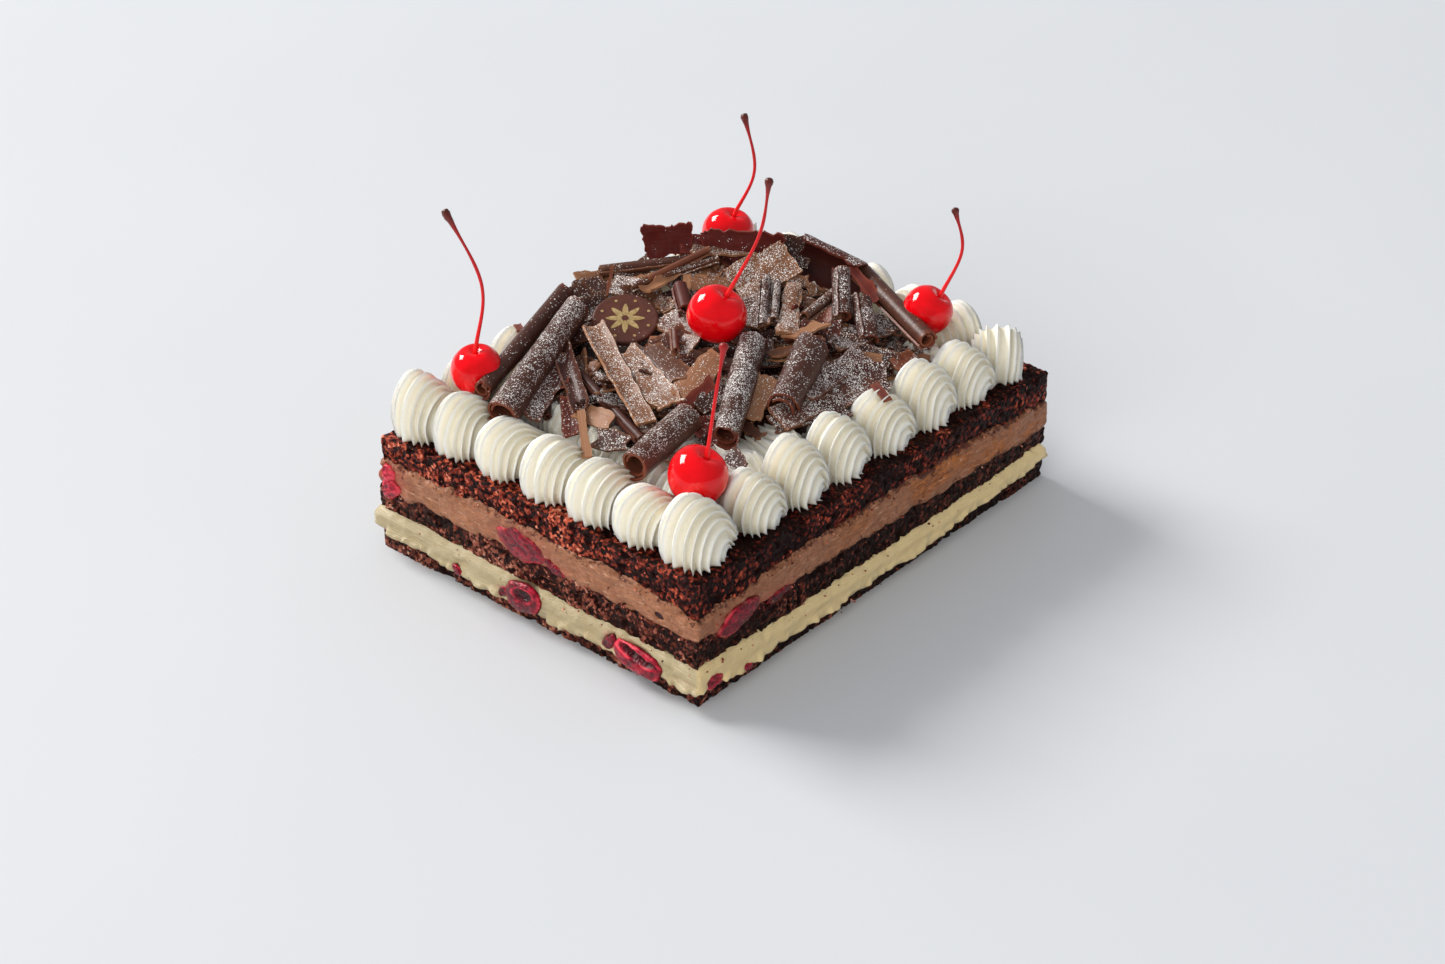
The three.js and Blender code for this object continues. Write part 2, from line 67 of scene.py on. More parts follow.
def toward(azimuth, elevation):
    """The direction from which a view of that azimuth and elevation, in degrees, looks."""
    turn, lift = math.radians(azimuth), math.radians(elevation)
    return Vector((math.sin(turn) * math.cos(lift), -math.cos(turn) * math.cos(lift), math.sin(lift)))


def add_camera():
    data = bpy.data.cameras.new("camera")
    data.sensor_width = SENSOR
    data.lens = FOCAL
    data.clip_start, data.clip_end = NEAREST, FURTHEST
    camera = bpy.data.objects.new("camera", data)
    back = toward(AZIMUTH, ELEVATION)
    camera.location = (Vector(LOOK_AT) + back * DISTANCE) * MM
    camera.rotation_euler = back.to_track_quat("Z", "Y").to_euler()
    bpy.context.scene.collection.objects.link(camera)
    bpy.context.scene.camera = camera


def add_area_light(name, azimuth, elevation, size, power, mirrored=True):
    """A soft window of light in metres that looks at the cake; wet surfaces mirror it or don't."""
    data = bpy.data.lights.new(name, "AREA")
    data.shape = "RECTANGLE"
    data.size, data.size_y = size
    data.energy = power
    data.color = LAMP_COLOUR
    lamp = bpy.data.objects.new(name, data)
    back = toward(azimuth, elevation)
    lamp.location = back * LAMP_DISTANCE + Vector((0, 0, LAMP_LOOKS_AT))
    lamp.rotation_euler = back.to_track_quat("Z", "Y").to_euler()
    lamp.visible_glossy = mirrored
    bpy.context.scene.collection.objects.link(lamp)


def add_world():
    world = bpy.data.worlds.new("studio")
    world.use_nodes = True
    background = world.node_tree.nodes["Background"]
    background.inputs["Color"].default_value = ROOM_COLOUR
    rays = world.node_tree.nodes.new("ShaderNodeLightPath")
    strength = world.node_tree.nodes.new("ShaderNodeMath")
    strength.operation = "MULTIPLY_ADD"
    strength.inputs[1].default_value = ROOM_MIRRORED - ROOM_LIT
    strength.inputs[2].default_value = ROOM_LIT
    world.node_tree.links.new(rays.outputs["Is Glossy Ray"], strength.inputs[0])
    world.node_tree.links.new(strength.outputs[0], background.inputs["Strength"])
    bpy.context.scene.world = world


# ---------- Noise over points ----------

def scattered(i, j, k, seed):
    """A repeatable value from 0 to 1 for each whole-number place."""
    code = (i * 374761393 + j * 668265263 + k * 1440662683 + seed * 974634777) & 0xFFFFFFFF
    code = ((code ^ (code >> 13)) * 1274126177) & 0xFFFFFFFF
    return ((code ^ (code >> 16)) & 0xFFFFFF) / 16777216.0


def waves(points, size, seed):
    """Smooth noise from -1 to 1, with features of about that size."""
    place = np.asarray(points, float) / size
    cell = np.floor(place).astype(np.int64)
    part = place - cell
    part = part * part * (3 - 2 * part)
    total = 0.0
    for step in np.ndindex(2, 2, 2):
        weight = np.prod(np.where(np.array(step) == 1, part, 1 - part), axis=-1)
        corner = cell + np.array(step)
        total = total + weight * scattered(corner[..., 0], corner[..., 1], corner[..., 2], seed)
    return 2 * total - 1


def lumps(points, size, seed):
    """Round lumps packed side by side: 1 on top of each, 0 in the cracks between them."""
    place = np.asarray(points, float) / size
    cell = np.floor(place).astype(np.int64)
    nearest = np.full(place.shape[:-1], 9.0)
    for step in np.ndindex(3, 3, 3):
        corner = cell + np.array(step) - 1
        i, j, k = corner[..., 0], corner[..., 1], corner[..., 2]
        middle = np.stack([i + scattered(i, j, k, seed + axis) for axis in range(3)], -1)
        nearest = np.minimum(nearest, ((place - middle) ** 2).sum(-1))
    return np.sqrt(np.clip(1 - nearest / 0.64, 0, 1))


def eased(value, low, high):
    """0 below low, 1 above high, and smooth between them."""
    part = np.clip((value - low) / (high - low), 0, 1)
    return part * part * (3 - 2 * part)


def drift(points, size, seed):
    """Smooth noise that moves each point its own way."""
    return np.stack([waves(points, size, seed + axis) for axis in range(3)], -1)


def on_plan(x, y):
    """Points at height 0 for noise that is the same at every height."""
    return np.stack([x, y, np.zeros_like(x)], -1)


def curve_through(x, knots):
    """Values at x of a smooth curve through pairs of place and value."""
    xs, ys = np.array(knots, float).T
    slopes = np.gradient(ys, xs)
    k = np.clip(np.searchsorted(xs, x) - 1, 0, len(xs) - 2)
    span = xs[k + 1] - xs[k]
    t = np.clip((x - xs[k]) / span, 0, 1)
    held = ys[k] * (1 + 2 * t) * (1 - t) ** 2 + ys[k + 1] * t * t * (3 - 2 * t)
    return held + span * (slopes[k] * t * (1 - t) ** 2 - slopes[k + 1] * t * t * (1 - t))


# ---------- Meshes ----------

def quads_of(rows, columns, wrap=False):
    """Faces over a grid of points, row by row; a wrapped grid joins its last column to its first."""
    r, c = np.meshgrid(np.arange(rows - 1), np.arange(columns if wrap else columns - 1), indexing="ij")
    a, b = r * columns + c, r * columns + (c + 1) % columns
    return np.stack([a, b, b + columns, a + columns], -1).reshape(-1, 4)


def fan(centre, ring):
    """Triangles from one point to a closed ring of points."""
    ring = np.asarray(ring)
    return np.stack([np.full(len(ring), centre), ring, np.roll(ring, -1)], -1)


def capped_tube(rows, columns):
    """Faces over rings of points that two more points close: they stand last, the first ring's end first."""
    last, ring = rows * columns, np.arange(columns)
    return [quads_of(rows, columns, wrap=True), fan(last, ring[::-1]), fan(last + 1, last - columns + ring)]


def rim_of(rows, columns):
    """The points on the edge of a grid, once round."""
    return np.concatenate([np.arange(columns), np.arange(1, rows) * columns + columns - 1,
                           (rows - 1) * columns + np.arange(columns - 2, -1, -1),
                           np.arange(rows - 2, 0, -1) * columns])


def circle(count):
    """Angles once round."""
    return np.linspace(0, 2 * math.pi, count, endpoint=False)


class Shape:
    """Points, faces and marks of one mesh. A mark is a number for each point that a finish reads."""

    def __init__(self):
        self.points, self.faces, self.marks, self.count = [], [], {}, 0

    def add(self, points, faces, **marks):
        points = np.asarray(points, float).reshape(-1, 3)
        self.faces += [np.asarray(f) + self.count for f in faces if len(f)]
        self.points.append(points)
        for name, value in marks.items():
            value = np.asarray(value, float).reshape(-1)
            self.marks.setdefault(name, []).append(np.broadcast_to(value, (len(points),)))
        self.count += len(points)

    def mesh(self, name):
        mesh = bpy.data.meshes.new(name)
        points = np.concatenate(self.points) * MM
        corners = np.concatenate([f.ravel() for f in self.faces])
        sizes = np.concatenate([np.full(len(f), f.shape[1]) for f in self.faces])
        mesh.vertices.add(len(points))
        mesh.vertices.foreach_set("co", points.astype(np.float32).ravel())
        mesh.loops.add(len(corners))
        mesh.loops.foreach_set("vertex_index", corners.astype(np.int32))
        mesh.polygons.add(len(sizes))
        mesh.polygons.foreach_set("loop_start", (np.cumsum(sizes) - sizes).astype(np.int32))
        mesh.polygons.foreach_set("use_smooth", np.ones(len(sizes), bool))
        mesh.update(calc_edges=True)
        for mark, values in self.marks.items():
            layer = mesh.attributes.new(mark, "FLOAT", "POINT")
            layer.data.foreach_set("value", np.concatenate(values).astype(np.float32))
        return mesh


def place_piece(name, shape, finish, slot, crease=None, added=False):
    """Makes the shape a piece that rides on the cake and stands for the CAD node of that name.

    An added piece is a thing that the CAD model leaves out, so it stands for no node."""
    node, name = name, name if added else name + "_look"
    mesh = shape.mesh(name)
    if crease:
        mesh.set_sharp_from_angle(angle=math.radians(crease))
    mesh.materials.append(finish)
    piece = bpy.data.objects.new(name, mesh)
    bpy.context.scene.collection.objects.link(piece)
    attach(piece, BODY)
    if not added:
        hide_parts(node)


def basis(along, face):
    """Axes with x along, and z as near to face as it can be."""
    x = np.asarray(along, float) / np.linalg.norm(along)
    y = np.cross(face, x)
    y = y / np.linalg.norm(y)
    return np.stack([x, y, np.cross(x, y)])


# ---------- Finishes ----------

class Signal:
    """What a node puts out. Each sum, product, band or ramp of signals is one more node."""

    def __init__(self, finish, socket):
        self.finish, self.socket = finish, socket

    def __add__(self, other):
        return self.finish.math("ADD", self, other)

    def __mul__(self, other):
        return self.finish.math("MULTIPLY", self, other)

    def band(self, low, high, to=(0.0, 1.0)):
        """Goes smoothly between the two numbers of to while the signal goes from low to high."""
        links = {"Value": self, "From Min": low, "From Max": high, "To Min": to[0], "To Max": to[1]}
        return self.finish.node("MapRange", "Result", links, interpolation_type="SMOOTHSTEP")

    def ramp(self, *stops):
        """A colour for each value, from stops of value and colour."""
        made = self.finish.node("ValToRGB", "Color", {"Fac": self})
        elements = made.socket.node.color_ramp.elements
        while len(elements) < len(stops):
            elements.new(0.5)
        for element, (at, colour) in zip(elements, stops):
            element.position = at
            element.color = (*colour, 1)
        return made


class Finish:
    """A procedural material, wired with short calls. Sizes are in millimetres."""

    def __init__(self, name, **constants):
        self.material = bpy.data.materials.new(name)
        self.material.use_nodes = True
        self.tree = self.material.node_tree
        self.shader = self.tree.nodes["Principled BSDF"]
        for socket, value in constants.items():
            self.shader.inputs[socket.replace("_", " ")].default_value = value
        self.place = self.node("TexCoord", "Object")

    def plug(self, socket, value):
        """Wires a signal into the socket, or sets the socket to a number, vector or colour."""
        if isinstance(value, Signal):
            self.tree.links.new(value.socket, socket)
        else:
            socket.default_value = (*value, 1) if socket.type == "RGBA" else value

    def node(self, kind, output, links=(), **settings):
        """One output of a new node."""
        made = self.tree.nodes.new("ShaderNode" + kind)
        for name, value in settings.items():
            setattr(made, name, value)
        for socket, value in dict(links).items():
            self.plug(made.inputs[socket], value)
        return Signal(self, made.outputs[output])

    def math(self, operation, *values, **settings):
        return self.node("Math", "Value", dict(enumerate(values)), operation=operation, **settings)

    def noise(self, size, detail=3.0, roughness=0.55, stretch=None):
        place = self.place
        if stretch:
            place = self.node("Mapping", "Vector", {"Vector": place, "Scale": stretch})
        links = {"Vector": place, "Scale": 1 / (size * MM), "Detail": detail, "Roughness": roughness}
        return self.node("TexNoise", "Fac", links)

    def cells(self, size, output="Distance"):
        return self.node("TexVoronoi", output, {"Vector": self.place, "Scale": 1 / (size * MM)})

    def mark(self, name):
        return self.node("Attribute", "Fac", attribute_name=name)

    def lines(self, scale):
        """Fine lines that run where the mark grain stays even."""
        links = {"W": self.mark("grain"), "Scale": scale, "Detail": 3.0}
        return self.node("TexNoise", "Fac", links, noise_dimensions="1D")

    def facing_up(self):
        return self.node("SeparateXYZ", "Z", {"Vector": self.node("NewGeometry", "Normal")})

    def coated(self, colour, *coats):
        """The colour under coats of others, each with the share of it that covers."""
        for share, coat in coats:
            colour = self.node("Mix", 2, {0: share, 6: colour, 7: coat}, data_type="RGBA")
        return colour

    def bump(self, height, depth, strength=1.0, under=None):
        """The normals of a relief that deep, over the relief that lies under it."""
        links = {"Height": height, "Distance": depth * MM, "Strength": strength}
        if under:
            links["Normal"] = under
        return self.node("Bump", "Normal", links)

    def made(self, colour, roughness=None, normal=None):
        """The material, once these signals are wired into its shader."""
        for socket, signal in (("Base Color", colour), ("Roughness", roughness), ("Normal", normal)):
            if signal:
                self.plug(self.shader.inputs[socket], signal)
        return self.material


# Colours of the coats.
MOUSSE_ON_SPONGE, SOAKED_SPONGE = (0.15, 0.046, 0.02), (0.24, 0.006, 0.012)
# The first colour below is a painted warm glow of reflected light, for the filling's side at -Y.
PAINTED_REFLECTED_GLOW, CREAM_SPECK = (0.82, 0.63, 0.32), (0.11, 0.07, 0.04)
CARAMEL, COCOA = (0.48, 0.15, 0.028), (0.1, 0.028, 0.014)
MILK_COCOA, PAINTED_STREAK_SHEEN = (0.19, 0.068, 0.03), (0.68, 0.42, 0.28)
SEAM_PAINTED_SHADE, CRUMB_BROWN, SOAKED_MOUSSE = (0.2, 0.075, 0.035), (0.07, 0.017, 0.01), (0.4, 0.015, 0.04)
MOUSSE_ON_FRUIT = (0.34, 0.1, 0.06)
DUSTING = (0.87, 0.845, 0.81)
SUGAR_GRAINS = [(0.42, 0.72), (0.7, 0.36)]      # fine and coarse grains: their size, and how many there are
SPONGE_PAINTED_SHADE = -0.105           # painted shade: how much darker the sponge is where its mark of painted light and shade is 1


def sponge_finish(name, dark, mid, crumb, painted_glint):
    finish = Finish(name, Specular_IOR_Level=0.14)
    speckle = finish.cells(1.15, "Color") * 0.5 + finish.noise(1.5, 4, 0.85) * 0.42
    # Painted light and shade: the relief mark makes clumps that stand out lighter, up to a painted glint,
    # and pits darker.
    patches_and_painted_light = finish.noise(8, 2) * 0.16 + finish.mark("relief") * 0.6
    # Painted shade: the sponge is darker towards its right corner.
    lit = speckle + patches_and_painted_light + finish.mark("gloom") * SPONGE_PAINTED_SHADE
    smeared = (finish.noise(1.6, 3, 0.7, (0.5, 0.5, 1.2)) + finish.mark("smear") * 0.14).band(0.66, 0.8)
    colour = finish.coated(lit.ramp((0.61, dark), (0.73, mid), (0.86, crumb), (0.98, painted_glint)),
                           (smeared * 0.55, MOUSSE_ON_SPONGE), (finish.mark("stain") * 0.5, SOAKED_SPONGE))
    rough = finish.noise(1.6, 2).band(0.35, 0.7, (0.28, 0.9))
    return finish.made(colour, rough, finish.bump(finish.noise(1.0, 3, 0.75), 0.8, 0.8))


def cream_finish(name, crest, valley, juice_colour, smooth):
    finish = Finish(name, Roughness=smooth, Specular_IOR_Level=0.45, Subsurface_Weight=0.2,
                    Subsurface_Radius=(1.0, 0.8, 0.55), Subsurface_Scale=1.2 * MM)
    # Painted shade: the cream is darker and yellower in its valleys and dents.
    depth = finish.mark("valley") + finish.noise(3.5, 3) * 0.3
    specks = finish.cells(2.6).band(0.0, 0.07, (1.0, 0.0)) * finish.noise(4.5, 1).band(0.5, 0.58)
    # The filling's side at -Y takes a painted warm glow of reflected light.
    colour = finish.coated(depth.ramp((0.15, crest), (1.0, valley)), (finish.mark("gloom"), PAINTED_REFLECTED_GLOW),
                           (finish.mark("stain").band(0.1, 0.9), juice_colour), (specks * 0.8, CREAM_SPECK))
    bubbles = finish.bump(finish.noise(0.6, 3, 0.65), 0.32, 0.6)
    drawn = finish.bump(finish.lines(2.6), 0.5, 0.7, bubbles)
    return finish.made(colour, normal=finish.bump(finish.noise(2.2, 2), 0.35, 0.5, drawn))


def mousse_finish():
    finish = Finish("mousse", Roughness=0.5, Specular_IOR_Level=0.26, Subsurface_Weight=0.12,
                    Subsurface_Radius=(1.0, 0.5, 0.3), Subsurface_Scale=1.2 * MM)
    smear, seam = finish.mark("smear"), finish.mark("seam")
    streaks = finish.noise(2.1, 4, 0.75, (0.3, 0.3, 1.2)).band(0.46, 0.62)
    fine = finish.noise(1.1, 4, 0.8, (0.6, 0.6, 1.1)).band(0.42, 0.66)
    # Painted sheen: pale drawn streaks stand in for highlights on the mousse.
    pale = finish.noise(1.2, 3, 0.6, (0.3, 0.3, 1.3)).band(0.58, 0.7)
    # Painted shade: the mousse is darker near its seams with the sponges.
    shaded = seam * finish.noise(3.5, 3, 0.6).band(0.35, 0.65)
    crumbs = (finish.noise(2.0, 4, 0.7) + seam * 0.16).band(0.68, 0.74)
    spots = finish.math("MAXIMUM", crumbs, finish.cells(2.4).band(0.07, 0.13, (1.0, 0.0)))
    colour = finish.noise(5, 4, 0.6).ramp((0.3, (0.3, 0.118, 0.058)), (0.7, (0.44, 0.195, 0.102)))
    colour = finish.coated(colour, (smear.band(0.1, 1.0, (0.0, 0.9)), CARAMEL),
                           (streaks * smear.band(0.0, 1.0, (0.1, 0.7)), COCOA), (fine * 0.5, MILK_COCOA),
                           (pale * 0.5, PAINTED_STREAK_SHEEN), (shaded * 0.55, SEAM_PAINTED_SHADE), (spots * 0.85, CRUMB_BROWN),
                           (finish.mark("stain"), SOAKED_MOUSSE))
    drawn = finish.noise(0.8, 3, 0.6, (0.5, 0.5, 1.4))
    return finish.made(colour, drawn.band(0.35, 0.65, (0.3, 0.6)),
                       finish.bump(spots, -0.4, 0.5, finish.bump(drawn, 0.5, 0.6)))


def cherry_finish():
    finish = Finish("cherry", Roughness=0.09, Specular_IOR_Level=0.3, Subsurface_Weight=0.15,
                    Subsurface_Radius=(1.0, 0.04, 0.04), Subsurface_Scale=4 * MM, Coat_Weight=0.3,
                    Coat_Roughness=0.03)
    colour = finish.noise(8, 2).ramp((0.3, (0.66, 0.0003, 0.003)), (0.7, (0.86, 0.001, 0.007)))
    return finish.made(colour, normal=finish.bump(finish.noise(5, 2), 0.3, 0.25))


def fruit_finish():
    finish = Finish("fruit", Specular_IOR_Level=0.4, Subsurface_Weight=0.08,
                    Subsurface_Radius=(1.0, 0.1, 0.1), Subsurface_Scale=1.0 * MM)
    # The relief mark carries painted highlights on the rims and painted shade in the hollows.
    tone = finish.mark("relief") + finish.noise(1.4, 4, 0.75) * 0.5
    colour = tone.ramp((0.34, (0.022, 0.0006, 0.002)), (0.6, (0.12, 0.0018, 0.009)),
                       (0.83, (0.38, 0.006, 0.025)), (1.0, (0.72, 0.045, 0.075)))
    drawn = finish.noise(1.3, 4, 0.7, (0.6, 0.6, 1.4)) + finish.mark("smear") * 0.22
    rough = finish.noise(1.5, 2).band(0.4, 0.6, (0.08, 0.35))
    return finish.made(finish.coated(colour, (drawn.band(0.68, 0.8) * 0.6, MOUSSE_ON_FRUIT)), rough,
                       finish.bump(finish.noise(1.0, 3, 0.6), 0.5, 0.8))


def stem_finish():
    finish = Finish("stem", Roughness=0.3, Specular_IOR_Level=0.5, Subsurface_Weight=0.1,
                    Subsurface_Scale=1 * MM)
    colour = finish.mark("along").ramp((0.0, (0.8, 0.006, 0.008)), (0.55, (0.6, 0.006, 0.01)),
                                       (0.86, (0.36, 0.01, 0.01)), (0.93, (0.17, 0.016, 0.012)),
                                       (1.0, (0.08, 0.016, 0.011)))
    return finish.made(colour, normal=finish.bump(finish.noise(0.8, 3), 0.15, 0.5))


def chocolate_finish():
    """Chocolate with scrape lines along each shard and grains of sugar on its upward sides."""
    finish = Finish("chocolate", Specular_IOR_Level=0.32)
    scrape = finish.lines(1.6)
    tone = finish.mark("tone") + finish.noise(4, 3) * 0.2 + scrape * 0.16
    dark = tone.ramp((0.16, (0.026, 0.0075, 0.0055)), (0.5, (0.068, 0.023, 0.0155)),
                     (0.86, (0.19, 0.077, 0.035)), (1.0, (0.3, 0.138, 0.068)))
    maroon = tone.ramp((0.15, (0.045, 0.0045, 0.004)), (0.4, (0.13, 0.012, 0.008)),
                       (0.7, (0.24, 0.04, 0.022)))
    upward = finish.facing_up().band(-0.15, 0.7, (0.06, 1.0))
    amount = finish.mark("dust") * upward * finish.noise(7, 3, 0.6).band(0.32, 0.6, (0.35, 1.0))
    fine, coarse = (finish.math("LESS_THAN", finish.cells(size, "Color"), amount * share)
                    * finish.cells(size).band(0.32, 0.5, (1.0, 0.0)) for size, share in SUGAR_GRAINS)
    film = finish.noise(1.1, 3, 0.7).band(0.5, 0.7) * (amount * 0.12)
    cover = finish.math("ADD", fine + coarse, film, use_clamp=True)
    waxy = finish.bump(scrape, 0.25, 0.5, finish.bump(finish.noise(1.8, 3, 0.6), 0.3, 0.35))
    return finish.made(finish.coated(dark, (finish.mark("ruddy"), maroon), (cover * 0.94, DUSTING)),
                       finish.math("MULTIPLY_ADD", cover, 0.4, 0.4), finish.bump(cover, 0.25, 0.6, waxy))


def gold_finish():
    finish = Finish("gold_print", Metallic=0.75, Specular_IOR_Level=0.5)
    colour = finish.noise(1.5, 3).ramp((0.3, (0.52, 0.34, 0.13)), (0.7, (0.72, 0.54, 0.27)))
    return finish.made(colour, finish.noise(0.6, 3).band(0.3, 0.7, (0.3, 0.6)))


def floor_finish():
    finish = Finish("floor", Roughness=0.5, Specular_IOR_Level=0.25)
    return finish.made(finish.noise(220, 2).ramp((0.2, (0.57, 0.585, 0.61)), (0.8, (0.59, 0.605, 0.625))))


SPONGE = sponge_finish("sponge", dark=(0.011, 0.0018, 0.0015), mid=(0.165, 0.02, 0.0105),
                       crumb=(0.6, 0.11, 0.052), painted_glint=(0.95, 0.48, 0.32))
PLAIN_SPONGE = sponge_finish("sponge_plain", dark=(0.011, 0.0028, 0.002), mid=(0.11, 0.022, 0.012),
                             crumb=(0.34, 0.1, 0.062), painted_glint=(0.7, 0.38, 0.26))
CREAM = cream_finish("cream", crest=(0.93, 0.915, 0.85), valley=(0.85, 0.79, 0.63),
                     juice_colour=(0.75, 0.13, 0.06), smooth=0.38)
# The filling is the cream made much darker and browner, as painted shade.
SHADED_FILLING = cream_finish("filling", crest=(0.53, 0.45, 0.28), valley=(0.42, 0.32, 0.165),
                       juice_colour=(0.5, 0.05, 0.08), smooth=0.26)
MOUSSE = mousse_finish()
CHERRY = cherry_finish()
FRUIT = fruit_finish()
STEM = stem_finish()
CHOCOLATE = chocolate_finish()
GOLD = gold_finish()


# ---------- The block's layers ----------

CORNERS = {"left": (-1, 1), "front": (-1, -1), "right": (1, -1), "back": (1, 1)}
# Height of each boundary at the four corners, and how far it bows up midway along the sides.
BOUNDARIES = [
    {"left": 0, "front": 0, "right": 0, "back": 0, "bow": (0, 0)},
    {"left": 8.4, "front": 6.6, "right": 9.2, "back": 8.4, "bow": (-3.3, -2)},
    {"left": 16.4, "front": 14.9, "right": 14.4, "back": 15.6, "bow": (-1.5, -0.3)},
    {"left": 25.7, "front": 26.6, "right": 21.5, "back": 24.5, "bow": (0.4, 0.6)},
    {"left": 37.1, "front": 34.6, "right": 32.6, "back": 35.5, "bow": (2.6, 2)},
    {"left": 48.1, "front": 49.3, "right": 45.5, "back": 46.4, "bow": (0, 0)},
]
CORNER_RADIUS = 1.0
TOP_EDGE = 1.8                  # radius of the top sponge's worn edge
TOP_RING = 13.0                 # how far in from the edge the top is made in full detail


def boundary_height(index, x, y):
    boundary = BOUNDARIES[index]
    u, v = x / HALF_X, y / HALF_Y
    height = boundary["bow"][0] * (1 - u * u) + boundary["bow"][1] * (1 - v * v)
    for corner, (cu, cv) in CORNERS.items():
        height = height + boundary[corner] * (1 + cu * u) * (1 + cv * v) / 4
    return height


def top_height(x, y):
    return boundary_height(len(BOUNDARIES) - 1, x, y)


def outline(step):
    """Points round the block's sides about a step apart, with their outward directions."""
    dense, ways = [], []
    for cu, cv in ((1, -1), (1, 1), (-1, 1), (-1, -1)):
        start = math.atan2(cv, cu) - math.pi / 4
        for turn in np.linspace(start, start + math.pi / 2, 9):
            way = np.array([math.cos(turn), math.sin(turn)])
            middle = np.array([cu * (HALF_X - CORNER_RADIUS), cv * (HALF_Y - CORNER_RADIUS)])
            dense.append(middle + CORNER_RADIUS * way)
            ways.append(way)
    dense, ways = np.array(dense + dense[:1]), np.array(ways + ways[:1])
    run = np.concatenate([[0], np.cumsum(np.linalg.norm(np.diff(dense, axis=0), axis=1))])
    at = np.arange(round(run[-1] / step)) * run[-1] / round(run[-1] / step)
    points = np.stack([np.interp(at, run, dense[:, k]) for k in range(2)], -1)
    normals = np.stack([np.interp(at, run, ways[:, k]) for k in range(2)], -1)
    return points, normals / np.linalg.norm(normals, axis=1, keepdims=True)


def crumb_relief(points, seed):
    """Torn sponge: clumps of crumbs, fine grains and pits, in millimetres out from the face."""
    clumps = 1.0 * (lumps(points, 3.6, seed) - 0.45)
    grains = 1.1 * (lumps(points, 1.5, seed + 7) - 0.4)
    broad = 0.5 * waves(points, 9, seed + 1) + 0.35 * waves(points, 0.9, seed + 2)
    pits = -1.2 * eased(waves(points, 2.6, seed + 3), 0.35, 0.8)
    return clumps + grains + broad + pits


def cream_relief(points, seed):
    swell = 0.5 * waves(points * [1, 1, 1.6], 9, seed) + 0.25 * waves(points * [1, 1, 1.5], 3.5, seed + 1)
    return swell + 0.2 * waves(points * [1, 1, 1.6], 1.4, seed + 2)


def mousse_relief(points, seed):
    drawn = points * [0.35, 0.35, 1.0]
    smears = 0.42 * waves(drawn, 2.2, seed) + 0.3 * waves(drawn, 1.0, seed + 1)
    return smears + 0.45 * waves(points, 6, seed + 2) - 0.8 * eased(waves(points, 2, seed + 3), 0.42, 0.8)


# Each layer's finish and relief, how far its sides at +X and +Y stand out beyond the rest, the mean inset
# of its sides, how far its edges roll in and over what height, its mesh step round the sides and up them,
# and how far it reaches into the layers below and above.
CRUMBLY = {"slot": "sponge", "relief": crumb_relief, "roll": 0.3, "roll_height": 1.0, "step": 0.5,
           "rise": 0.5}
LAYERS = [
    {**CRUMBLY, "name": "sponge_bottom", "finish": PLAIN_SPONGE, "beyond": (3.2, 3.0), "inset": -0.8,
     "roll": 0.25, "roll_height": 0.8, "laps": (0, 1.4)},
    {"name": "cream_filling", "slot": "cream", "finish": SHADED_FILLING, "relief": cream_relief,
     "beyond": (-1.0, 2.4), "inset": -2.7, "roll": 1.3, "roll_height": 2.4, "step": 0.7, "rise": 0.6,
     "laps": (0.9, 0.9)},
    {**CRUMBLY, "name": "sponge_middle", "finish": PLAIN_SPONGE, "beyond": (2.2, 2.6), "inset": -1.5,
     "laps": (1.0, 1.2)},
    {"name": "mousse", "slot": "mousse", "finish": MOUSSE, "relief": mousse_relief,
     "beyond": (2.2, 0.8), "inset": -1.4, "roll": 0.4, "roll_height": 1.4, "step": 0.6, "rise": 0.5,
     "laps": (1.0, 1.0)},
    {**CRUMBLY, "name": "sponge_top", "finish": SPONGE, "beyond": (2.3, 0.0), "inset": -1.3,
     "laps": (1.2, 0)},
]
# How far each boundary wanders, over long and short stretches.
WANDER = [(0, 0), (1.1, 0.8), (0.5, 0.5), (0.6, 0.9), (1.1, 1.1), (0.5, 0.4)]
LIP = 1.3                       # how far the filling's lower rim hangs out
LIP_UP, LIP_SPREAD = 1.4, 1.5   # how high over the filling's lower boundary that rim is, and its half height
SQUEEZED = 0.9                  # how steeply a layer draws in where it reaches into its neighbours
SEAM_REACH = 1.7                # how far from its boundaries a layer is marked as near a seam


def wandering(index, x, y):
    long, short = WANDER[index]
    shift = long * waves(on_plan(x, y), 9, 40 + index) + short * waves(on_plan(x, y), 3.1, 50 + index)
    return boundary_height(index, x, y) + shift


# Stains of cherry juice on the sides: place, reach along the side, reach up, strength.
STAINS = [
    ((-95, 69, 31), 8, 6, 0.8), ((-95, 6, 31), 14, 6, 0.5), ((-95, -10, 28), 7, 3, 0.4),
    ((-95, 5, 11), 10, 7, 0.45), ((-95, 15, 9), 4, 4, 0.7), ((-95, -36, 11), 5, 5, 0.8),
    ((-95, -50, 9), 12, 6, 0.4), ((-95, 36, 8), 3, 3, 0.5), ((-95, -72, 9), 4, 4, 0.9),
    ((-91, -73, 8.5), 5, 4, 0.9), ((-76, -73, 27), 13, 6, 0.4), ((-55, -73, 25), 10, 4, 0.4),
    ((-73, -73, 5.5), 4, 3, 0.5), ((40, 73, 28), 9, 5, 0.5), ((95, 10, 27), 9, 5, 0.5),
    ((95, -30, 11), 7, 4, 0.5), ((-30, 73, 12), 7, 4, 0.5),
]


def juice(points):
    """How stained with cherry juice each point of the sides is, from 0 to 1."""
    total = np.zeros(points.shape[:-1])
    for place, along, up, strength in STAINS:
        off = points - np.array(place)
        far = (off[..., 0] ** 2 + off[..., 1] ** 2) / along ** 2 + off[..., 2] ** 2 / up ** 2
        total = total + strength * np.exp(-1.4 * far) * (0.75 + 0.5 * waves(points, 1.8, 77))
    return np.clip(total, 0, 1)


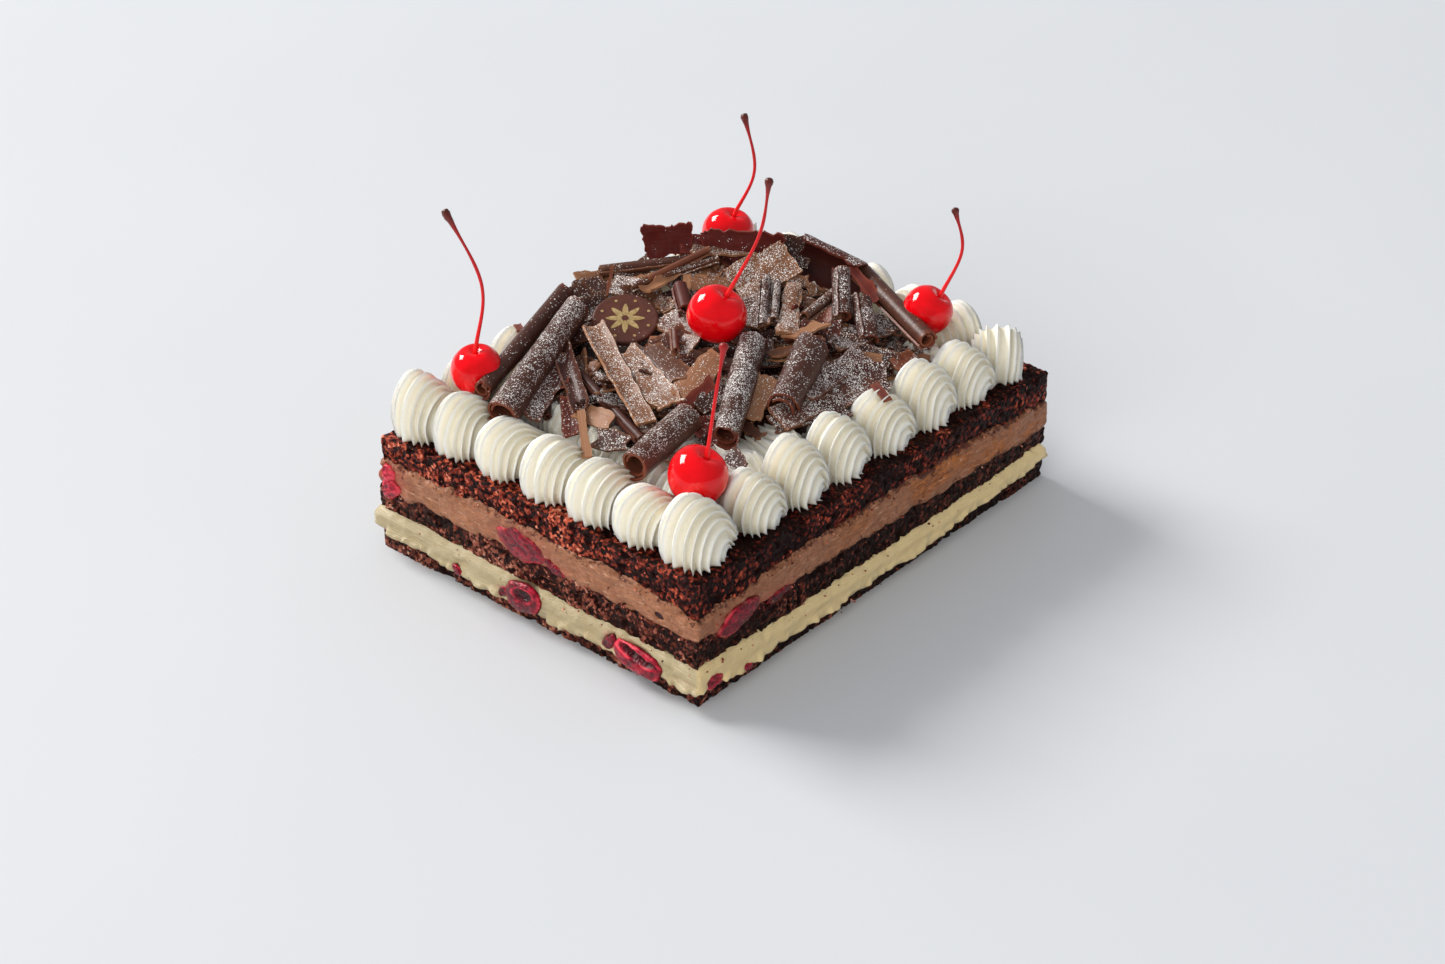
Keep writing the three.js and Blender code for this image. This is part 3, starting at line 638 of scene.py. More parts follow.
def layer_rim(index, x, y):
    """Rings up a layer's side and over its top: how far in, how high, and the angle at which each looks up.

    With them comes how far inside the layer's own boundaries each point of the side is."""
    layer = LAYERS[index]
    low, high = wandering(index, x, y), wandering(index + 1, x, y)
    rows = round((float(np.mean(high - low)) + sum(layer["laps"])) / layer["rise"])
    top = index == len(LAYERS) - 1
    if top:
        high = high - TOP_EDGE
    shares = np.linspace(0, 1, rows)[:, None]
    z = (low - layer["laps"][0]) * (1 - shares) + (high + layer["laps"][1]) * shares
    inside = high - z if index == 0 else z - low if top else np.minimum(z - low, high - z)
    bend = np.clip(1 - inside / layer["roll_height"], 0, 1)
    inset = layer["inset"] + (layer["roll"] * bend ** 2 + SQUEEZED * np.clip(-inside, 0, None))
    if layer["finish"] is SHADED_FILLING:
        across = np.stack(np.broadcast_arrays(x, y, 0.6 * z), -1)
        hang = 0.7 + 0.7 * waves(across, 5, 33) + 0.9 * waves(across, 1.9, 34)
        inset = inset - LIP * hang * np.exp(-((z - low - LIP_UP) / LIP_SPREAD) ** 2)
    rim = [(inset[row], z[row], 0.0) for row in range(rows)]
    if top:
        for turn in np.radians([18, 36, 54, 72, 90]):
            drop = TOP_EDGE * (1 - math.cos(turn))
            rim.append((np.full(len(x), layer["inset"] + drop), high + TOP_EDGE * math.sin(turn), turn))
        for reach in np.linspace(TOP_EDGE + 0.6, TOP_RING, 15):
            rim.append((np.full(len(x), layer["inset"] + reach), high + TOP_EDGE, math.pi / 2))
    return rim, inside


def make_layer(index):
    layer = LAYERS[index]
    places, ways = outline(layer["step"])
    rim, inside = layer_rim(index, *places.T)
    columns = len(places)
    rings, reliefs = [], []
    for depth, level, turn in rim:
        inner = places * (1 - depth[:, None] / [HALF_X, HALF_Y]) + np.clip(ways, 0, 1) * layer["beyond"]
        ring = np.column_stack([inner, level])
        relief = layer["relief"](ring, 11 * index) - pressed(ring)
        way = np.column_stack([ways * math.cos(turn), np.full(columns, math.sin(turn))])
        rings.append(ring + way * relief[:, None])
        reliefs.append(relief)
    points = np.stack(rings)
    if index == 0:
        points[..., 2] = np.maximum(points[..., 2], 0)
        points[0, :, 2] = 0
    ends = [[0, 0, boundary_height(index, 0, 0) - layer["laps"][0]],
            [0, 0, boundary_height(index + 1, 0, 0) + layer["laps"][1]]]
    every = np.concatenate([points.reshape(-1, 3), ends])
    # The relief mark and its opposite let the finishes paint light and shade: lighter where the side stands
    # out, darker in its pits and dents.
    relief = np.append(np.clip(0.5 + 0.33 * np.array(reliefs).ravel(), 0, 1), [0.5, 0.5])
    toward_right = every[:, 0] / HALF_X - every[:, 1] / HALF_Y
    smear = eased(toward_right, 0.2, 1.4) * eased(waves(every, 11, 91), -0.9, 0.6)
    # This mark paints shade on the sponge towards the right corner, away from the lamps, and a warm glow of
    # reflected light on the filling's side at -Y.
    gloom = eased(toward_right, -1.2, 0.9) * eased(every[:, 1], 20, -60)
    if layer["finish"] is SHADED_FILLING:
        gloom = np.append(np.tile(np.clip(-ways[:, 1], 0, 1), len(rim)), [0, 0])
    seam = np.exp(-np.clip(inside, 0, None) / SEAM_REACH).ravel()
    seam = np.append(seam, np.zeros(len(every) - len(seam))) * (1 + smear)
    shape = Shape()
    shape.add(every, capped_tube(len(rim), columns), relief=relief, valley=1 - relief, stain=juice(every),
              smear=smear, gloom=gloom, seam=seam, grain=every[:, 2])
    place_piece(layer["name"], shape, layer["finish"], layer["slot"])


# ---------- Piped shells ----------

RIDGES = 18
RIDGE_STEPS = 8
SHELL_ROWS = 42
RIDGE_DEPTH = 2.6
SHELL_FOOT = 0.88
SHELL_SINK = 0.5
SHELL_FULLNESS = 0.76           # below 1, the sections are fuller than ellipses
SHELL_CROWN = 2.1 * math.sin(math.radians(68))
FOOT_SPLAY, FOOT_DRAW = 1.3, 0.25
SHELL_DRIFT = 0.45              # how far the hand that pipes strays

# Each shell's place, pull in degrees from +X, length of its tail, radius and height, in the frame's order.
BORDER = [
    # the short side at -X, from the left corner to the front corner
    (-85.2, 63.1, 0, 14, 9.6, 24.5), (-84.4, 43.8, 3, 22, 9.4, 22), (-84, 23.2, -2, 22, 9.8, 19.5),
    (-84.3, 0.9, 2, 22, 10.3, 21), (-84.8, -21, 0, 22, 10, 21), (-85, -41.3, -2, 21, 9.7, 19),
    (-84.2, -62.2, 0, 18.5, 10.4, 24),
    # the long side at -Y
    (-55.5, -61.8, 1, 12.1, 9.8, 21), (-33.4, -61.9, -2, 13, 9.5, 24.5), (-10.5, -61.6, 2, 14.8, 9.8, 23),
    (14.2, -61.4, -1, 13.6, 9.8, 21.5), (37.6, -61.6, 1, 12.9, 9.8, 24.5), (60.4, -61.5, 0, 12, 9.8, 22.5),
    # the short side at +X
    (82.2, -61.9, 42, 11.1, 9.5, 21), (84.2, -40.2, 88, 9.5, 9.3, 22), (84, -20, 91, 9.5, 9.5, 21),
    (84.4, 0.4, 90, 9.2, 9.5, 22.5), (84.1, 20.7, 89, 9.4, 9.5, 21.2), (84.3, 41, 90, 10, 9.5, 22),
    (85, 63.3, 225, 9.4, 8.7, 21.5),
    # the long side at +Y
    (-61.3, 62.6, -1, 14, 9.8, 21.6), (-37.2, 62.9, 2, 14, 9.8, 23), (-13.1, 62.5, 0, 14, 9.8, 21.4),
    (11.1, 62.8, -2, 14, 9.8, 22.6), (35.2, 62.6, 1, 14, 9.8, 22), (59.2, 62.8, 0, 13, 9.8, 23.2),
]


def shell_shape(x, y, pull, tail, radius, height, seed):
    """A star-piped shell: sections fan from its foot to its tail about a hinge at the foot's inner edge."""
    reach_tail = tail / radius - SHELL_FOOT
    reaches = [(0, 2 * SHELL_FOOT), (22, 2.15), (45, 2.32), (68, 2.1), (98, 0.87 + 0.4 * reach_tail),
               (145, 0.1 + 0.85 * reach_tail), (180, reach_tail)]
    widths = [(0, 0.9), (22, 1), (45, 1), (68, 0.98), (98, 0.9), (145, 0.62), (180, 0.3)]
    angles = 180 * np.linspace(0, 1, SHELL_ROWS) ** 1.15
    reach = curve_through(angles, reaches)[:, None]
    width = curve_through(angles, widths)[:, None]
    count = RIDGES * RIDGE_STEPS
    rng = np.random.default_rng(seed)
    phase = (np.arange(count) % RIDGE_STEPS) / RIDGE_STEPS
    valley = np.sin(math.pi * phase ** 0.8) ** 0.7 * (1 - 0.12 * np.exp(-((phase - 0.45) / 0.12) ** 2))
    uneven = np.repeat(rng.uniform(0.75, 1.15, RIDGES), RIDGE_STEPS)
    slack = np.repeat(rng.uniform(0.1, 1.2, RIDGES), RIDGE_STEPS)
    fade = 1 - 0.35 * eased(angles, 100, 180)[:, None]
    ridge = 1 - fade * (RIDGE_DEPTH / radius) * valley * uneven
    turn = np.radians(angles)[:, None]
    around = 2 * math.pi * np.arange(count) / count + math.radians(rng.uniform(-9, 9))
    around = around + 0.12 * np.sin(turn)
    swell = [np.sign(wave) * np.abs(wave) ** SHELL_FULLNESS for wave in (np.cos(around), np.sin(around))]
    far = radius * reach / 2 * (1 - 0.96 * ridge * swell[0])
    side = radius * width * ridge * swell[1]
    rise = far * np.sin(turn) * height / (SHELL_CROWN * radius)
    hinge = SHELL_FOOT * radius
    points = np.stack([hinge - far * np.cos(turn), side, rise], -1)
    # the ridges' feet spread on the cake in small points
    foot = np.exp(-(angles / 7) ** 2)[:, None]
    out = points[..., :2] / (np.linalg.norm(points[..., :2], axis=-1, keepdims=True) + 1e-6)
    splay = foot * (FOOT_SPLAY * slack * np.cos(math.pi * phase) ** 2 - FOOT_DRAW)
    points[..., :2] += out * splay[..., None]
    points += SHELL_DRIFT * drift(points, 8, seed)
    points[..., 0] += 0.12 * waves(points, 1.6, seed + 5)
    points[..., 2] = np.maximum(points[..., 2], 0) - SHELL_SINK
    turn_z = math.radians(pull)
    flat = points[..., 0] * math.cos(turn_z) - points[..., 1] * math.sin(turn_z)
    points[..., 1] = points[..., 0] * math.sin(turn_z) + points[..., 1] * math.cos(turn_z)
    points[..., 0] = flat
    points += np.array([x, y, top_height(x, y)])
    every = np.concatenate([points.reshape(-1, 3), points[[0, -1]].mean(axis=1)])
    grain = (RIDGES * around / (2 * math.pi) + 40 * seed).ravel()
    # This mark paints shade into the grooves between the ridges.
    marks = {"valley": np.append((fade * valley).ravel(), [0, 0]), "grain": np.append(grain, [0, 0])}
    return every, capped_tube(SHELL_ROWS, count), marks


# Where juice has run from the front, left and right cherries into the cream: place and radius.
JUICY = [((-67.7, -49.2, 68), 10.4), ((-67.2, 53.5, 68), 9.4), ((68.7, -39.6, 68), 9.2)]


def cherry_stain(points):
    total = np.zeros(len(points))
    for at, radius in JUICY:
        off = np.linalg.norm(points - np.array(at), axis=1) - radius
        total += 0.75 * np.exp(-np.clip(off, 0, None) / 1.1)
    return np.clip(total, 0, 0.8)


def make_border():
    for number, spec in enumerate(BORDER, 1):
        shape = Shape()
        points, faces, marks = shell_shape(*spec, seed=100 + 10 * number)
        shape.add(points, faces, stain=cherry_stain(points), **marks)
        place_piece(f"swirl_{number:02d}", shape, CREAM, "cream")


# ---------- Cream and the heap's core ----------

INNER_LOW, INNER_HIGH = np.array([-63.0, -53.0]), np.array([75.0, 55.0])
BED_RISE = 7.5
HEAP_RISE = 17
HEAP_MIDDLE, HEAP_HALF = np.array([5.7, 0.8]), np.array([66.7, 51.2])
CORE_DEPTH = 4.5                # how far under the heap's surface its core lies


def heap_height(x, y):
    """The top of the chocolate heap, without its single pieces."""
    u, v = (x - HEAP_MIDDLE[0]) / HEAP_HALF[0], (y - HEAP_MIDDLE[1]) / HEAP_HALF[1]
    dome = HEAP_RISE * (1 - 0.6 * u * u - 0.4 * v * v) + 1.5 * u + 3.5 * v
    return top_height(x, y) + BED_RISE + np.maximum(dome, 1)


def slab(low, high, step, height, shape, **marks):
    """A closed block over a rectangle, with an uneven top that height gives; marks may be functions too."""
    columns = round((high[0] - low[0]) / step) + 1
    rows = round((high[1] - low[1]) / step) + 1
    x, y = np.meshgrid(np.linspace(low[0], high[0], columns), np.linspace(low[1], high[1], rows))
    z, base = height(x, y), top_height(x, y) - 0.5
    edge = np.zeros(z.shape, bool)
    edge[[0, -1]] = edge[:, [0, -1]] = True
    top = np.stack([x, y, np.where(edge, base, z)], -1)
    middle = np.array([[(low[0] + high[0]) / 2, (low[1] + high[1]) / 2, float(base.min())]])
    faces = [quads_of(rows, columns), fan(rows * columns, rim_of(rows, columns)[::-1])]
    marks = {name: np.append(mark(x, y).ravel(), 0) if callable(mark) else mark
             for name, mark in marks.items()}
    shape.add(np.concatenate([top.reshape(-1, 3), middle]), faces, **marks)


def make_cream_bed():
    def rope(x, y):
        """How far inwards each place is and how far along the edge, and the ridges piped there."""
        from_x = np.minimum(x - INNER_LOW[0], INNER_HIGH[0] - x)
        from_y = np.minimum(y - INNER_LOW[1], INNER_HIGH[1] - y)
        along = np.where(from_x < from_y, y, x)
        ridged = np.abs(np.sin(math.pi * (along + 1.2 * waves(on_plan(x, y), 8, 5)) / 2.7)) ** 0.7
        return np.minimum(from_x, from_y), along, ridged

    def height(x, y):
        inward, along, ridged = rope(x, y)
        mound = 3.6 * np.cos(2 * math.pi * (along - 4) / 21) * np.exp(-np.clip(inward - 6, 0, None) / 10)
        body = top_height(x, y) + BED_RISE * eased(inward, -2, 6)
        return body + mound + 2.3 * ridged + 1.1 * waves(on_plan(x, y), 9, 6)

    shape = Shape()
    # The first mark paints shade into the grooves between the piped ridges.
    slab(INNER_LOW, INNER_HIGH, 0.7, height, shape, valley=lambda x, y: 1 - rope(x, y)[2], stain=0,
         grain=lambda x, y: rope(x, y)[1])
    place_piece("cream_bed", shape, CREAM, "cream")


def make_heap_core(shape):
    def height(x, y):
        place = on_plan(x, y)
        broken = 2.6 * (lumps(place, 9, 21) - 0.5) + 1.2 * (lumps(place, 4, 22) - 0.5)
        return heap_height(x, y) - CORE_DEPTH + broken + 1.5 * waves(place, 14, 23)

    slab(INNER_LOW + 8, INNER_HIGH - 8, 1.3, height, shape, tone=0.1, dust=0.35, ruddy=0, grain=0)


# ---------- Chocolate ----------

SHEET_THICKNESS = 0.8
SHARP = 50                      # a shard's edges look sharp above this many degrees


def ragged(share, amount, rng):
    """A broken edge's uneven offset along its length, where share runs from 0 to 1."""
    total = np.zeros_like(share)
    for count, depth in ((4, 0.7), (9, 0.55), (23, 0.35)):
        knots = np.sort(rng.uniform(0, 1, count))
        total = total + depth * np.interp(share, knots, rng.normal(0, 1, count))
    return amount * total


def thick_sheet(middle, thickness):
    """A closed sheet from a grid of points along its middle, with marks of its lower side and its rim."""
    rows, columns = middle.shape[:2]
    along = np.gradient(middle, axis=0)
    across = np.gradient(middle, axis=1)
    normal = np.cross(along, across)
    normal /= np.linalg.norm(normal, axis=-1, keepdims=True) + 1e-9
    above, below = middle + normal * (thickness / 2), middle - normal * (thickness / 2)
    points = np.concatenate([above.reshape(-1, 3), below.reshape(-1, 3)])
    count = rows * columns
    upper = quads_of(rows, columns)[:, ::-1]
    lower = quads_of(rows, columns) + count
    rim = rim_of(rows, columns)
    after = np.roll(rim, -1)
    walls = np.stack([rim, after, after + count, rim + count], -1)
    side = np.concatenate([np.zeros(count), np.ones(count)])
    edge = np.zeros(2 * count)
    edge[np.concatenate([rim, rim + count])] = 1
    return points, [upper, lower, walls], side, edge


def grain_of(points, seed):
    """A mark that is even along a shard's length, where its scrape lines run."""
    return points[:, 1] + 0.5 * points[:, 2] + 17.0 * (seed % 97)


def plate_points(length, width, bend, curl, rng, torn=0.9, buckle=0.35, grid=(9, 6),
                 thickness=SHEET_THICKNESS):
    """A curved shard: its hollow side looks along +Z, its length along X; bend and curl are in degrees,
    and a negative one bulges along +Z instead."""
    u = np.linspace(-1, 1, grid[0])[:, None] * np.ones(grid[1])
    v = np.linspace(-1, 1, grid[1])[None, :] * np.ones((grid[0], 1))
    x = u * length / 2 + eased(np.abs(u), 0.5, 1) * np.sign(u) * ragged((v + 1) / 2 * 0.9, torn, rng)
    y = v * width / 2 + eased(np.abs(v), 0.4, 1) * np.sign(v) * ragged((u + 1) / 2 * 0.9, torn, rng)
    x = x + 0.5 * rng.normal(0, torn) * v           # its ends and sides don't run quite square
    y = y + 0.6 * rng.normal(0, torn) * u
    spread, roll = math.radians(max(abs(bend), 1)), math.radians(max(abs(curl), 1))
    radius, reach = width / spread, length / roll
    angle = y / radius
    lift = math.copysign(1, bend) * radius * (1 - np.cos(angle))
    y = radius * np.sin(angle)
    turn = x / reach
    z = lift * np.cos(turn) + math.copysign(1, curl) * reach * (1 - np.cos(turn))
    x = (reach - math.copysign(1, curl) * lift) * np.sin(turn)
    middle = np.stack([x, y, z], -1)
    middle[..., 2] += buckle * waves(middle, 5, int(rng.integers(1, 9999)))
    return thick_sheet(middle, thickness)


def scroll_points(length, radii, turns, start, rng, torn=1.0, rows=26, columns=64,
                  thickness=SHEET_THICKNESS):
    """A rolled-up shaving along X, wound inwards from its outer edge, which lies at the angle start."""
    share = np.linspace(0, 1, columns)[None, :] * np.ones((rows, 1))
    u = np.linspace(0, 1, rows)[:, None] * np.ones(columns)
    angle = start + 2 * math.pi * turns * share
    outer = radii[0] + (radii[1] - radii[0]) * u
    radius = np.maximum(outer - thickness / 2 - thickness * 1.5 * turns * share, 0.7)
    oval = 0.035 * np.sin(angle * 2 + rng.uniform(0, 6))
    radius = radius * (1 + oval + 0.02 * np.sin(7 * u + rng.uniform(0, 6)))
    ends = np.stack([ragged(share[0] * 2.2, torn, rng), ragged(share[0] * 2.2, torn, rng)])
    x = length * (u - 0.5) + (1 - u) ** 3 * ends[0] + u ** 3 * ends[1]
    angle = angle - (1 - share) ** 12 * ragged(u, torn * 0.08, rng)
    middle = np.stack([x, radius * np.cos(angle), radius * np.sin(angle)], -1)
    points, faces, side, rim = thick_sheet(middle, thickness)
    return points, faces, 1 - side, rim


def laid(points, along, at, face):
    """Points turned so that X runs along and Z looks at face, then moved."""
    return points @ basis(along, face) + np.asarray(at, float)


def line(start, end):
    """The way from start to end, and the middle between them."""
    return np.subtract(end, start), np.add(start, end) / 2


def distance(start, end):
    return np.linalg.norm(np.subtract(end, start))


# Rolls: ends, radii at the ends, turns, where the loose edge is in degrees, dust, tone.
ROLLS = {
    "roll_left_outer": ((-12, 63.8, 74.2), (-75.9, 42.9, 68.2), (3.9, 4), 1.7, 200, 0.3, 0.3),
    "roll_left_inner": ((-21.1, 49.5, 76), (-78.5, 30.5, 65), (5.2, 6.4), 1.9, 210, 0.85, 0.3),
    "roll_front": ((-41, -22, 68), (-76, -28.6, 67), (6, 5.8), 1.8, 250, 0.75, 0.35),
    "roll_right": ((73, -6, 71.5), (54, -51, 68), (4.4, 4.2), 1.7, 200, 0.16, 0.35),
    "roll_fat": ((16, -29, 73.5), (-14, -40.7, 66.5), (6.9, 6.2), 1.7, 250, 0.55, 0.3),
    "roll_sugared": ((2, -13.5, 75), (-40, -37.5, 65), (6.2, 5.4), 1.6, 220, 1.0, 0.25),
    "curl_upper": ((57, -9, 81), (43, -21, 71), (3.8, 4), 1.5, 120, 0.9, 0.3),
    "curl_lower": ((55, -20, 74.5), (43.5, -33, 65.5), (4.2, 4.6), 1.4, 120, 0.9, 0.3),
}
# Plates: ends, width, bend, the way their hollow side looks, dust, tone, ruddiness, how torn.
PLATES = {
    "plate_arch": ((69.2, 18.8, 76), (76.4, -4.7, 69), 30, 190, (-0.8, -0.59, -0.11), 0.8, 0.15, 0.35, 0.8),
    "plate_back_left": ((25, 60, 80.5), (38, 45, 82.5), 15, 24, (-0.8, -0.6, 0.2), 0.3, 0.12, 0.8, 1.2),
    "plate_back_right": ((39, 45, 80.5), (56, 17, 78), 12, 20, (-0.8, -0.5, 0.3), 0.3, 0.12, 0.8, 1.1),
    "plate_light": ((30, 18, 74), (51, 10, 81.5), 15, 16, (-0.5, -0.35, 0.75), 1.0, 0.68, 0.0, 0.7),
    "strip_long": ((-25, 37.5, 74), (-53.5, -14, 66), 8, 60, (-0.3, -0.5, 0.8), 0.7, 0.64, 0.0, 0.45),
}
PLATE_CURL = 8
PLAQUE_GUARD = np.array([-4, -3, 0])    # loose shards keep off the side that the plaque is seen from


def make_rolls():
    for number, (name, spec) in enumerate(ROLLS.items()):
        start, end, radii, turns, lip, dust, tone = spec
        points, faces, side, rim = scroll_points(distance(start, end), radii, turns, math.radians(lip),
                                                 np.random.default_rng(300 + number))
        shape = Shape()
        shape.add(laid(points, *line(start, end), UP), faces, tone=tone + 0.12 * side + 0.12 * rim,
                  dust=dust * (1 - 0.8 * side), ruddy=0.2 * side + 0.3 * rim,
                  grain=0.4 * points[:, 0] + 31 * number)
        place_piece(name, shape, CHOCOLATE, "chocolate", crease=SHARP)


def make_plates():
    for number, (name, spec) in enumerate(PLATES.items()):
        start, end, width, bend, face, dust, tone, ruddy, torn = spec
        points, faces, side, rim = plate_points(distance(start, end), width, bend, PLATE_CURL,
                                                np.random.default_rng(330 + number), torn=torn,
                                                buckle=0.6, grid=(34, 22), thickness=1.0)
        if bend > 90:                               # the arch has no sugar inside
            dust, tone = dust * side, tone - 0.1 + 0.1 * side
        shape = Shape()
        shape.add(laid(points, *line(start, end), face), faces, tone=tone + 0.25 * rim, dust=dust,
                  ruddy=ruddy, grain=grain_of(points, number))
        place_piece(name, shape, CHOCOLATE, "chocolate", crease=SHARP)


def clear_of_firm_pieces(point, reach):
    """Whether a shard there would stay out of the cherries, the plaque and the rolls."""
    for at, radius in CHERRY_BALLS:
        if np.linalg.norm(point - at) < radius + reach:
            return False
    over_plaque = np.linalg.norm((point - PLAQUE_AT - PLAQUE_GUARD)[:2]) < PLAQUE_RADIUS + reach
    if over_plaque and point[2] > PLAQUE_AT[2] - 8:
        return False
    for start, end, radii, *_ in ROLLS.values():
        if np.linalg.norm(off_line(point, start, end)) < max(radii) + 0.3 * reach:
            return False
    for start, end, width, *_ in SHOWN_SHARDS:
        off = off_line(point, start, end)
        if width >= BROAD and np.linalg.norm(off[:2]) < width / 2 + 0.3 * reach and off[2] > -2.5:
            return False
    return True


def off_line(point, start, end):
    """From the nearest place on the line between the two ends to the point."""
    start, along = np.array(start, float), np.subtract(end, start)
    return point - start - np.clip((point - start) @ along / (along @ along), 0, 1) * along


FLAT, LEANING, FACING = (-0.1, -0.1, 1), (-0.35, -0.3, 0.9), (-0.6, -0.5, 0.55)
EDGE_ON = (0.25, 0.22, 0.95)
BROAD = 7                       # a shown shard this wide keeps loose ones off it
